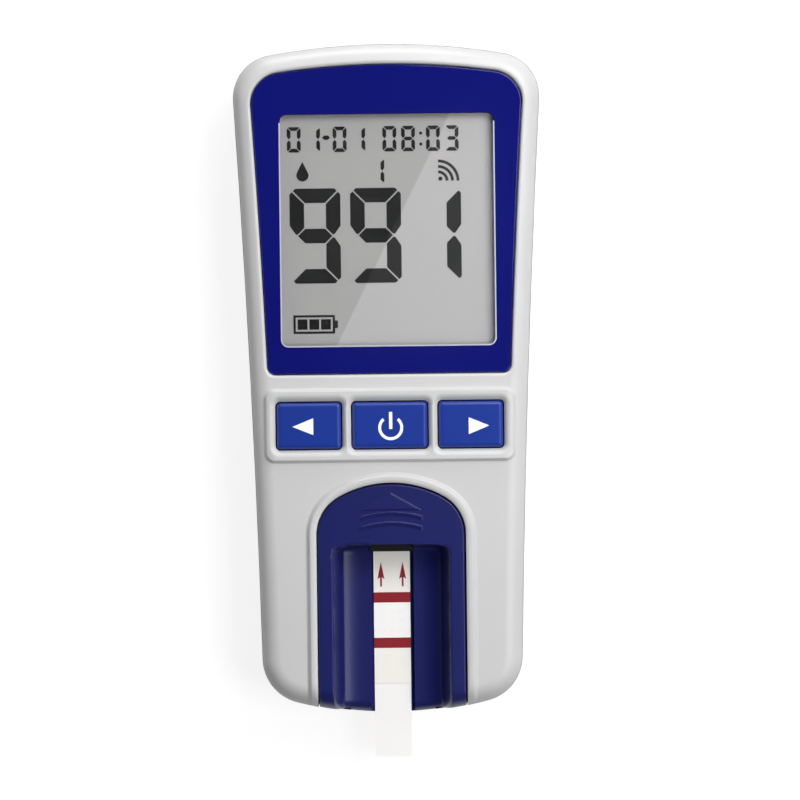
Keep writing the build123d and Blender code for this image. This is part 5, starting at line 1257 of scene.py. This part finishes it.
@dataclass
class StripHolder(SoftTop):
    """The slide that carries the strip: a deep soft trough, a channel and a grip for the thumb."""

    edge_round: float = 0.45
    lip_round: float = 2.0
    trough_head: float = -31.1
    trough_half: float = 11.3
    trough_corner: float = 2.9
    head_run: float = 2.4
    corner_power: float = 4.0
    wall_power: float = 3.5
    rim_share: float = 0.3
    floor: float = 17.3
    channel_half: float = 4.1
    arrow_base: float = -24.7
    arrow_height: float = 3.3
    arrow_rise: float = 0.3
    grip_half: float = 5.8
    arc_crests: tuple[float, float] = (-25.8, -27.7)
    arc_radius: float = 20.0
    ridge_width: float = 0.9
    ridge_rise: float = 0.4
    ridge_end: float = 0.3
    step_run: float = 0.22
    kept_below: float = 16.6
    covered_inset: float = 2.1
    covered_above: float = 15.75
    covered_slack: float = 0.01
    # faces that look up more than this are flat, and stay
    flat_from: float = 0.999
    # where rings of points follow the outlines: distances in from each, negative outside it
    channel_rings: Rings = (-0.08, -0.2, -0.4)
    plan_rings: Rings = (0.08, 0.18, 0.3, 0.45, 0.7)
    trough_rings: Rings = (
        0.0, 0.1, 0.2, 0.3, 0.4, 0.52, 0.66, 0.82, 1.0, 1.25, 1.55, 1.9, 2.3, 2.75,
    )

    def __post_init__(self) -> None:
        """Draws the outlines that the slide follows."""
        self.edge = self.case.plan()
        self.plan = self.arch.plan()
        half, head, foot, r = self.trough_half, self.trough_head, self.arch.far_foot, self.trough_corner
        self.trough = Outline.symmetric(
            [
                Side((0, foot), (half, foot)),
                Side((half, foot), (half, head - r)),
                Side((half, head - r), (half - r, head), Turn.LEFT, (half - r, head - r)),
                Side((half - r, head), (0, head)),
            ]
        )
        corners = box_shape(-self.channel_half, foot, self.channel_half, head)
        self.channel = Outline(tuple(Side(a, b) for a, b in zip(corners, corners[1:] + corners[:1])))

    def margin(self, x: Array, y: Array) -> Array:
        """How far inside the slide's top a place is."""
        within = [outline.distance(x, y) for outline in (self.edge, self.plan)]
        return np.min([*within, -self.channel.distance(x, y)], axis=0)

    def grip(self, x: Array, y: Array) -> Array:
        """How far the thumb grip stands out of the slide's top."""
        slope = math.hypot(self.arrow_height, self.grip_half)
        above_base = y - self.arrow_base
        below_slope = self.arrow_height * (1 - np.abs(x) / self.grip_half) - above_base
        inside = np.minimum(below_slope * self.grip_half / slope, above_base)
        rise = self.arrow_rise * ease(inside / self.step_run)
        ends = ease((self.grip_half - np.abs(x)) / self.ridge_end + 0.5)
        for crest in self.arc_crests:
            centre = crest + self.ridge_width - self.arc_radius
            along = np.hypot(x, y - centre) - (self.arc_radius - self.ridge_width)
            ramp = np.clip(along / self.ridge_width, 0, 1)
            ridge = self.ridge_rise * ramp * ease((self.ridge_width - along) / self.step_run) * ends
            rise = np.maximum(rise, ridge)
        return rise

    def scoop(self, x: Array, y: Array) -> Array:
        """How deep the trough is at a place, from 0 at its rim to 1 at its floor."""
        side = np.clip((self.trough_half - np.abs(x)) / (self.trough_half - self.channel_half), 0, 1)
        head = np.clip((self.trough_head - y) / self.head_run, 0, 1)
        power = self.corner_power
        away = np.minimum(((1 - side) ** power + (1 - head) ** power) ** (1 / power), 1)
        hollow = (1 - away**self.wall_power) ** (1 / self.wall_power)
        return hollow * ease((1 - away) / self.rim_share)

    def height(self, x: Array, y: Array) -> Array:
        """The height of the slide's top."""
        edge = self.edge.distance(x, y)
        top = self.case.face - edge_drop(edge, self.case.edge_radius)
        top = top - edge_drop(self.plan.distance(x, y), self.edge_round) + self.grip(x, y)
        floor = self.floor - edge_drop(edge, self.lip_round)
        return top + (floor - top) * self.scoop(x, y)

    def cloud(self) -> Cloud:
        """The places that the slide's top passes through, dense where it bends."""
        cloud = Cloud()
        cloud.add_rings(self.channel, self.channel_rings, step=0.5, clear=0.05)
        cloud.add_rings(self.plan, self.plan_rings, step=0.4, clear=0.05)
        cloud.add_rings(self.trough, self.trough_rings, step=0.4, clear=0.06)
        insets = round_steps(self.case.edge_radius, self.edge_steps)
        cloud.add_rings(self.edge, insets, step=0.4, clear=0.03)
        cloud.add(lattice((-6.4, -29.2), (6.4, -21.0), step=0.13), clear=0.05)
        cloud.add(lattice((-14, -64), (14, -19), step=0.55), clear=0.25)
        return cloud

    def stays_bare(self, middle: Vector, normal: Vector) -> bool:
        """Whether the skin leaves a face of the solid bare."""
        near_edge = float(self.edge.distance(middle.x, middle.y)) < self.covered_inset
        beside_channel = abs(middle.x) > self.channel_half - self.covered_slack
        over_lip = beside_channel and middle.z > self.covered_above
        return not (near_edge and over_lip and self.covered_from < normal.z < self.flat_from)

    def build(self, shop: Workshop) -> None:
        """Builds the slide's skin over the lower part of its solid."""
        boundary = [self.edge, self.plan, self.channel]
        slide = self.skin_over(shop.nodes["strip_holder"], "holder_slide", boundary)
        shop.mount(slide, Finish.HOLDER, Body.HOLDER, "strip_holder")
        shop.dress(Finish.BLACK, "slot_guide")


@dataclass
class SevenSegment:
    """A digit of seven segments with mitred joints and cut outer corners.

    An upright bar ends in a slant at the digit's middle, by shares of its width and of the cut.
    """

    width: float
    height: float
    bar: float
    gap: float
    cut: float
    outer_share: float = 0.35
    slant_share: float = 0.42
    tip_share: float = 0.56
    tip_rise: float = 0.04

    LIT = {"0": "abcdef", "1": "bc", "3": "abcdg", "8": "abcdefg", "9": "abcdfg"}

    def shapes(self, digit: str, left: float, foot: float) -> list[Shape]:
        """The lit segments of a digit.

        Args:
            digit: the digit.
            left: where its left edge is.
            foot: where its lowest edge is.

        Returns:
            The segments' shapes.
        """
        w, h, t, c = self.width, self.height, self.bar, self.cut
        g = self.gap * math.sqrt(0.5)
        m = h / 2
        top = [
            (t + g, h - t),
            (w - t - g, h - t),
            (w - (c + g) / 2, h - (c - g) / 2),
            (w - c, h),
            (c, h),
            ((c + g) / 2, h - (c - g) / 2),
        ]
        upper_left = [
            (t, h - t - g),
            ((c - g) / 2, h - (c + g) / 2),
            (0, h - c),
            (0, m + g + t * 0.5 + c * self.outer_share),
            (t * self.slant_share, m + g + t * self.tip_rise),
            (t * self.tip_share, m + g + t * self.tip_rise),
            (t, m + g + t * 0.5),
        ]
        middle = [
            (t * 0.5 + g, m),
            (t + g, m - t / 2),
            (w - t - g, m - t / 2),
            (w - t * 0.5 - g, m),
            (w - t - g, m + t / 2),
            (t + g, m + t / 2),
        ]
        lower_left = [(x, h - y) for x, y in reversed(upper_left)]
        parts = {
            "a": top,
            "b": [(w - x, y) for x, y in reversed(upper_left)],
            "c": [(w - x, y) for x, y in reversed(lower_left)],
            "d": [(x, h - y) for x, y in reversed(top)],
            "e": lower_left,
            "f": upper_left,
            "g": middle,
        }
        return [[(left + x, foot + y) for x, y in parts[name]] for name in self.LIT[digit]]


@dataclass
class Display:
    """The panel, its window and the liquid crystal cell with what it shows."""

    film_top: float = 21.9
    print_thickness: float = 0.03
    row_foot: float = 42.72
    row: str = "01010803"
    row_lefts: tuple[float, ...] = (-18.75, -15.12, -10.13, -6.61, -0.77, 2.74, 7.42, 10.93)
    small: SevenSegment = field(default_factory=lambda: SevenSegment(2.6, 4.78, 0.7, 0.13, 0.42))
    dash: tuple[Point, Point] = ((-12.12, 45.05), (-10.64, 45.85))
    dash_point: float = 0.35
    colon: tuple[Point, Point] = ((6.42, 46.1), (6.42, 44.05))
    colon_radius: float = 0.3
    count_left: float = -3.1
    count_foot: float = 36.66
    big: SevenSegment = field(default_factory=lambda: SevenSegment(9.56, 17.86, 2.73, 0.27, 1.1))
    big_foot: float = 18.05
    big_row: str = "991"
    big_lefts: tuple[float, ...] = (-18.4, -7.0, 4.3)
    sound_centre: Point = (9.62, 37.1)
    sound_rings: tuple[tuple[float, float], ...] = ((1.4, 1.93), (2.42, 2.95), (3.46, 3.99))
    sound_dot: float = 0.4
    battery_low: Point = (-17.9, 8.6)
    battery_high: Point = (-10.1, 12.1)
    battery_line: float = 0.42
    battery_gap: float = 0.35
    nub_half: float = 0.7
    nub_length: float = 0.55
    drop_centre: Point = (-15.9, 38.4)
    drop_radius: float = 1.15
    # the drop's bowl ends this many degrees over its widest place, and its tip is this many radii up
    drop_shoulder: float = 28.0
    drop_tip: float = 2.25
    view_centre: Point = (0.0, 28.0)
    view_width: float = 40.0
    view_height: float = 43.4
    view_corner: float = 1.2
    bevel: float = 0.25
    panel_top: float = 23.8

    def battery_shapes(self) -> list[Shape]:
        """A plain battery sign: a frame, its nub and three bars."""
        (x0, y0), (x1, y1) = self.battery_low, self.battery_high
        t, gap = self.battery_line, self.battery_gap
        middle = (y0 + y1) / 2
        shapes = [
            box_shape(x0, y0, x1, y0 + t),
            box_shape(x0, y1 - t, x1, y1),
            box_shape(x0, y0 + t, x0 + t, y1 - t),
            box_shape(x1 - t, y0 + t, x1, y1 - t),
            box_shape(x1, middle - self.nub_half, x1 + self.nub_length, middle + self.nub_half),
        ]
        width = (x1 - x0 - 2 * t - 4 * gap) / 3
        for i in range(3):
            left = x0 + t + gap + i * (width + gap)
            shapes.append(box_shape(left, y0 + t + gap, left + width, y1 - t - gap))
        return shapes

    def drop_shape(self) -> Shape:
        """A plain drop sign."""
        (cx, cy), steps = self.drop_centre, 28
        first, sweep = math.radians(180 - self.drop_shoulder), math.pi + 2 * math.radians(self.drop_shoulder)
        bowl = [
            polar(self.drop_centre, self.drop_radius, first + sweep * i / steps) for i in range(steps + 1)
        ]
        return [*bowl, (cx, cy + self.drop_tip * self.drop_radius)]

    def dash_shape(self) -> Shape:
        """The dash between day and month, pointed at both ends."""
        (x0, y0), (x1, y1) = self.dash
        middle, point = (y0 + y1) / 2, self.dash_point
        foot = [(x0, middle), (x0 + point, y0), (x1 - point, y0)]
        return [*foot, (x1, middle), (x1 - point, y1), (x0 + point, y1)]

    def shapes(self) -> list[Shape]:
        """All that the cell shows."""
        shapes: list[Shape] = []
        for digit, left in zip(self.row, self.row_lefts):
            shapes += self.small.shapes(digit, left, self.row_foot)
        shapes.append(self.dash_shape())
        shapes += [disc_shape(dot, self.colon_radius, count=20) for dot in self.colon]
        shapes += self.small.shapes("1", self.count_left, self.count_foot)
        for digit, left in zip(self.big_row, self.big_lefts):
            shapes += self.big.shapes(digit, left, self.big_foot)
        for inner, outer in self.sound_rings:
            shapes += ring_shapes(self.sound_centre, inner, outer, start=0, end=90, parts=18)
        dot_centre = (self.sound_centre[0] + self.sound_dot, self.sound_centre[1] + self.sound_dot)
        shapes.append(disc_shape(dot_centre, self.sound_dot, count=24))
        return shapes + self.battery_shapes() + [self.drop_shape()]

    def painted_bevel_highlight(self) -> list[Shape]:
        """A pale strip on the window's bevel at its foot and its sides: a painted highlight where the bevel
        catches the light.
        """
        opening = Outline.rounded(self.view_centre, self.view_width, self.view_height, self.view_corner)
        inner = np.array(opening.points(0.3))
        along = np.roll(inner, -1, axis=0) - np.roll(inner, 1, axis=0)
        outward = np.stack([along[:, 1], -along[:, 0]], axis=1)
        outer = inner + self.bevel * outward / np.linalg.norm(outward, axis=1, keepdims=True)
        # the bevel's head, which lies in shade, gets no painted highlight
        head = self.view_centre[1] + self.view_height / 2 - self.view_corner
        return [
            [tuple(inner[i - 1]), tuple(outer[i - 1]), tuple(outer[i]), tuple(inner[i])]
            for i in range(len(inner))
            if max(inner[i - 1][1], inner[i][1]) < head
        ]

    def build(self, shop: Workshop) -> None:
        """Dresses the panel and the cell and lays the lit segments on the cell's film."""
        shop.dress(Finish.PANEL, "display_panel")
        shop.dress(Finish.TAPE, "panel_tape")
        # the film's paler part right of the slanted line is a painted reflection
        shop.dress(Finish.POLARISER, "lcd_front_film")
        shop.dress(Finish.GLASS, "lcd_front_glass", "lcd_rear_glass")
        shop.dress(Finish.REFLECTOR, "lcd_reflector")
        shop.dress(Finish.BLACK, "lcd_frame")
        shop.dress(Finish.SILICONE, "zebra_strips")
        shop.dress(Finish.WINDOW, "display_window")
        # the window is thin and clear, so it casts no shadow on the cell under it
        window = shop.nodes["display_window"]
        window.visible_shadow = False
        window.visible_diffuse = False
        segments = flat_piece("lit_segments", self.shapes(), self.film_top, self.print_thickness)
        shop.mount(segments, Finish.SEGMENT, Body.METER)
        # a painted highlight: a pale strip on the bevel's foot and sides, left off at its head
        edge = flat_piece("window_bevel_painted_highlight", self.painted_bevel_highlight(), self.panel_top, self.print_thickness)
        shop.mount(edge, Finish.PAINTED_BEVEL_HIGHLIGHT, Body.METER)


@dataclass
class Keys:
    """The three keys with their printed signs."""

    row: float = KEY_ROW
    pitch: float = KEY_PITCH
    top: float = 24.8
    print_thickness: float = 0.02
    # the triangles: half of their height, and where each lies from its key's middle
    arrow_half: float = 1.58
    left_arrow: Point = (-3.1, 0.83)
    left_drop: float = 0.15
    right_arrow: Point = (-0.42, 3.42)
    right_drop: float = 0.3
    # the power sign: its centre, its ring's radii and angles, and its bar
    power_shift: float = 0.15
    power_drop: float = 0.5
    ring: Point = (1.79, 2.35)
    ring_angles: Point = (130, 410)
    bar_half: float = 0.31
    bar_ends: Point = (-0.25, 2.95)

    def left_sign(self) -> list[Shape]:
        """A triangle that points left."""
        x, y = -self.pitch, self.row - self.left_drop
        tip, base = x + self.left_arrow[0], x + self.left_arrow[1]
        return [[(tip, y), (base, y - self.arrow_half), (base, y + self.arrow_half)]]

    def right_sign(self) -> list[Shape]:
        """A triangle that points right."""
        x, y = self.pitch, self.row - self.right_drop
        base, tip = x + self.right_arrow[0], x + self.right_arrow[1]
        return [[(base, y - self.arrow_half), (tip, y), (base, y + self.arrow_half)]]

    def power_sign(self) -> list[Shape]:
        """An open ring with an upright bar."""
        x, y = self.power_shift, self.row - self.power_drop
        low, high = self.bar_ends
        bar = box_shape(x - self.bar_half, y + low, x + self.bar_half, y + high)
        return [*ring_shapes((x, y), *self.ring, *self.ring_angles, parts=56), bar]

    def build(self, shop: Workshop) -> None:
        """Dresses the keys and what lies under them, and lays the signs on top."""
        for body, name, sign in (
            (Body.LEFT_KEY, "left", self.left_sign()),
            (Body.POWER_KEY, "power", self.power_sign()),
            (Body.RIGHT_KEY, "right", self.right_sign()),
        ):
            shop.dress(Finish.KEY, f"{name}_button")
            shop.dress(Finish.BLACK, f"{name}_plunger")
            shop.dress(Finish.CHIP, f"{name}_switch")
            piece = flat_piece(f"{name}_sign", sign, self.top, self.print_thickness)
            shop.mount(piece, Finish.KEY_INK, body)


@dataclass
class TestStrip:
    """The strip's films, its pad and the two printed arrows that point into the meter."""

    top: float = 16.37
    print_thickness: float = 0.015
    arrow_centres: tuple[float, float] = (-2.05, 2.05)
    apex: float = -34.65
    head_foot: float = -37.9
    barb_sweep: float = 0.35
    shaft_foot: float = -39.3
    head_half: float = 0.66
    shaft_half: float = 0.17

    def arrow(self, x: float) -> list[Shape]:
        """The two halves of an arrow with swept barbs."""
        apex, foot = (x, self.apex), (x, self.shaft_foot)
        neck = self.head_foot + self.barb_sweep
        left, right = (
            [(x + s * self.head_half, self.head_foot), (x + s * self.shaft_half, neck)] for s in (-1, 1)
        )
        return [
            [apex, *left, (x - self.shaft_half, self.shaft_foot), foot],
            [apex, foot, (x + self.shaft_half, self.shaft_foot), *reversed(right)],
        ]

    def build(self, shop: Workshop) -> None:
        """Dresses the strip and prints its arrows."""
        shop.dress(Finish.STRIP_WHITE, "strip_backing")
        shop.dress(Finish.STRIP_CREAM, "strip_arrow_film", "strip_handle_film")
        shop.dress(Finish.STRIP_RED, "strip_bands")
        shop.dress(Finish.STRIP_MESH, "strip_sample_pad")
        halves = [half for x in self.arrow_centres for half in self.arrow(x)]
        arrows = flat_piece("strip_arrows", halves, self.top, self.print_thickness)
        shop.mount(arrows, Finish.STRIP_RED, Body.STRIP)


@dataclass
class RearShell:
    """The rear shell with its door, blank label and screws."""

    def build(self, shop: Workshop) -> None:
        """Dresses the shell and what is fixed to it."""
        shop.dress(Finish.CASE, "rear_housing", "battery_door")
        shop.dress(Finish.LABEL, "rear_label")
        shop.dress(Finish.ZINC, "case_screws")


@dataclass
class PowerSupply:
    """Four dry cells, turned end for end, and the contacts that join them."""

    def build(self, shop: Workshop) -> None:
        """Dresses the cells and the contacts."""
        shop.dress(Finish.SLEEVE_UP, "battery_1", "battery_3")
        shop.dress(Finish.SLEEVE_DOWN, "battery_2", "battery_4")
        shop.dress(Finish.NICKEL, "contact_links", "terminal_contacts", "contact_springs")


@dataclass
class Electronics:
    """The boards and the parts on them."""

    def build(self, shop: Workshop) -> None:
        """Dresses each part."""
        shop.dress(Finish.BOARD, "main_board", "optics_board")
        shop.dress(Finish.ZINC, "board_screws", "optics_screws")
        shop.dress(Finish.TIN, "crystal", "capacitors", "data_socket")
        shop.dress(Finish.CHIP, "controller_chip", "memory_chip", "photodiode")
        shop.dress(Finish.BLACK, "buzzer", "optics_block", "ribbon_connector")
        shop.dress(Finish.BLACK, "socket_contacts", "code_chip", "chip_socket")
        shop.dress(Finish.WINDOW, "optics_window")
        shop.dress(Finish.LAMP, "optics_leds")
        shop.dress(Finish.RIBBON, "ribbon_cable")


# The studio


def glow(tree: Tree, strength: Value) -> Socket:
    """White light of a strength, as a shader."""
    return add_node(tree, "ShaderNodeEmission", {"Color": WHITE, "Strength": strength}).outputs[0]


def sheet(name: str, corners: Sequence[Sequence[float]], material: bpy.types.Material) -> bpy.types.Object:
    """A flat sheet between four corners in metres."""
    mesh = bpy.data.meshes.new(name)
    mesh.from_pydata(corners, [], [(0, 1, 2, 3)])
    mesh.materials.append(material)
    return placed(name, mesh)


@dataclass(frozen=True)
class Lamp:
    """A soft round lamp aimed at the middle of the meter.

    The share is how much of a plain light level it gives a face that looks straight up,
    where all shares add up to a little more than 1.
    """

    name: str
    azimuth: float
    elevation: float
    share: float
    distance: float = 0.37
    size: float = 0.2
    glossy: bool = True

    def build(self) -> None:
        """Makes the lamp."""
        turn, rise = math.radians(self.azimuth), math.radians(self.elevation)
        where = Vector((*polar((0, 0), math.cos(rise), turn), math.sin(rise)))
        data = bpy.data.lights.new(self.name, "AREA")
        data.shape = "DISK"
        data.size = self.size
        data.energy = self.share * math.pi**2 * self.distance**2 / math.sin(rise)
        lamp = placed(self.name, data)
        lamp.location = where * self.distance
        lamp.rotation_euler = where.to_track_quat("Z", "Y").to_euler()
        lamp.visible_glossy = self.glossy


@dataclass
class Studio:
    """The floor, the sky, the lamps, the card over the camera and the camera."""

    camera_place: tuple[float, float, float] = (1.95, -4.04, 883.0)
    camera_turn: float = -0.0118
    focal: float = 206.0
    lamps: tuple[Lamp, ...] = (
        Lamp("head_lamp", 64, 50, 0.34),
        Lamp("right_lamp", 28, 50, 0.26),
        Lamp("foot_lamp", 330, 50, 0.16),
        # a diffuse fill from above, which reaches the strip in its trough
        Lamp("top_lamp", 330, 72, 0.24, size=0.1, glossy=False),
        Lamp("head_rim_lamp", 95, 12, 0.09),
        Lamp("left_rim_lamp", 165, 22, 0.045),
    )
    card_height: float = 1300.0
    card_glow: float = 0.2
    window_top: float = 23.2
    # the window's part that the card shows in, right of a slanted line
    card_window: tuple[Point, ...] = (SLANT_HEAD, SLANT_FOOT, (20.05, 6.25), (20.05, 49.75))
    # the floor reaches this many metres out and lies this many millimetres under the meter
    floor_reach: float = 3.0
    floor_depth: float = 0.1
    floor_grey: float = 0.3
    floor_glow: float = 0.84
    # the sky's light at the horizon and overhead, and the heights that it changes between
    sky_glow: Point = (0.12, 0.01)
    sky_heights: Point = (0.25, 0.93)

    def backdrop(self) -> None:
        """Makes the pale floor, which keeps the meter's shadow and is white to the camera."""
        material, tree = new_tree("paper_sweep_white")
        rays = add_node(tree, "ShaderNodeLightPath").outputs
        seen = combine(tree, "MAXIMUM", rays["Is Camera Ray"], rays["Is Glossy Ray"])
        seen = combine(tree, "MAXIMUM", seen, rays["Is Transmission Ray"])
        lift = glow(tree, combine(tree, "MULTIPLY", seen, self.floor_glow))
        grey = (self.floor_grey, self.floor_grey, self.floor_grey, 1.0)
        paper = add_node(tree, "ShaderNodeBsdfDiffuse", {"Color": grey})
        both = add_node(tree, "ShaderNodeAddShader", {0: paper.outputs[0], 1: lift})
        add_node(tree, "ShaderNodeOutputMaterial", {"Surface": both.outputs[0]})
        square = box_shape(-self.floor_reach, -self.floor_reach, self.floor_reach, self.floor_reach)
        floor = sheet("floor", [(x, y, -self.floor_depth * MM) for x, y in square], material)

    def heavens(self) -> None:
        """Makes the sky: white to the camera, pale at the horizon and dark overhead to the meter."""
        world = bpy.data.worlds.new("studio")
        bpy.context.scene.world = world
        world.use_nodes = True
        tree = world.node_tree
        tree.nodes.clear()
        way = add_node(tree, "ShaderNodeTexCoord").outputs["Generated"]
        up = add_node(tree, "ShaderNodeSeparateXYZ", {"Vector": way}).outputs["Z"]
        heights = {"From Min": self.sky_heights[0], "From Max": self.sky_heights[1]}
        levels = {"To Min": self.sky_glow[0], "To Max": self.sky_glow[1]}
        ramp = add_node(
            tree, "ShaderNodeMapRange", {"Value": up, **heights, **levels}, interpolation_type="SMOOTHSTEP"
        )
        seen = add_node(tree, "ShaderNodeLightPath").outputs["Is Camera Ray"]
        level = add_node(
            tree, "ShaderNodeMix", {"Factor": seen, 2: ramp.outputs[0], 3: 1.0}, data_type="FLOAT"
        )
        sky = add_node(tree, "ShaderNodeBackground", {"Color": WHITE, "Strength": level.outputs[0]})
        add_node(tree, "ShaderNodeOutputWorld", {"Surface": sky.outputs[0]})

    def card(self) -> None:
        """Hangs the card whose slanted edge shows in the display window."""
        *eye, height = self.camera_place
        reach = 1 + (self.card_height - self.window_top) / (height - self.window_top)
        spots = [toward(eye, corner, reach) for corner in self.card_window]
        corners = [(x * MM, y * MM, self.card_height * MM) for x, y in spots]
        material, tree = new_tree("card_lit")
        add_node(tree, "ShaderNodeOutputMaterial", {"Surface": glow(tree, self.card_glow)})
        card = sheet("window_card", corners, material)
        card.visible_camera = False
        card.visible_diffuse = False
        card.visible_shadow = False

    def camera(self) -> None:
        """Sets the camera straight above the meter."""
        data = bpy.data.cameras.new("camera")
        data.sensor_width = 36.0
        data.lens = self.focal
        data.clip_end = 10.0
        camera = placed("camera", data)
        camera.location = tuple(v * MM for v in self.camera_place)
        camera.rotation_euler = (0.0, 0.0, self.camera_turn)
        bpy.context.scene.camera = camera

    def build(self) -> None:
        """Builds all of the studio."""
        bpy.context.scene.view_settings.view_transform = "Standard"
        self.camera()
        self.heavens()
        self.backdrop()
        self.card()
        for lamp in self.lamps:
            lamp.build()
        log.info("built the studio with %d lamps", len(self.lamps))


def main() -> None:
    """Builds the meter and its studio."""
    logging.basicConfig(level=logging.INFO, format="%(message)s", stream=sys.stdout)
    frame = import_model()
    shop = Workshop(frame["nodes"])
    Studio().build()
    case, arch = CaseShape(), ArchShape()
    FrontShell(case, arch).build(shop)
    Display().build(shop)
    Keys().build(shop)
    StripHolder(case, arch).build(shop)
    TestStrip().build(shop)
    RearShell().build(shop)
    PowerSupply().build(shop)
    Electronics().build(shop)


if __name__ == "__main__":
    main()
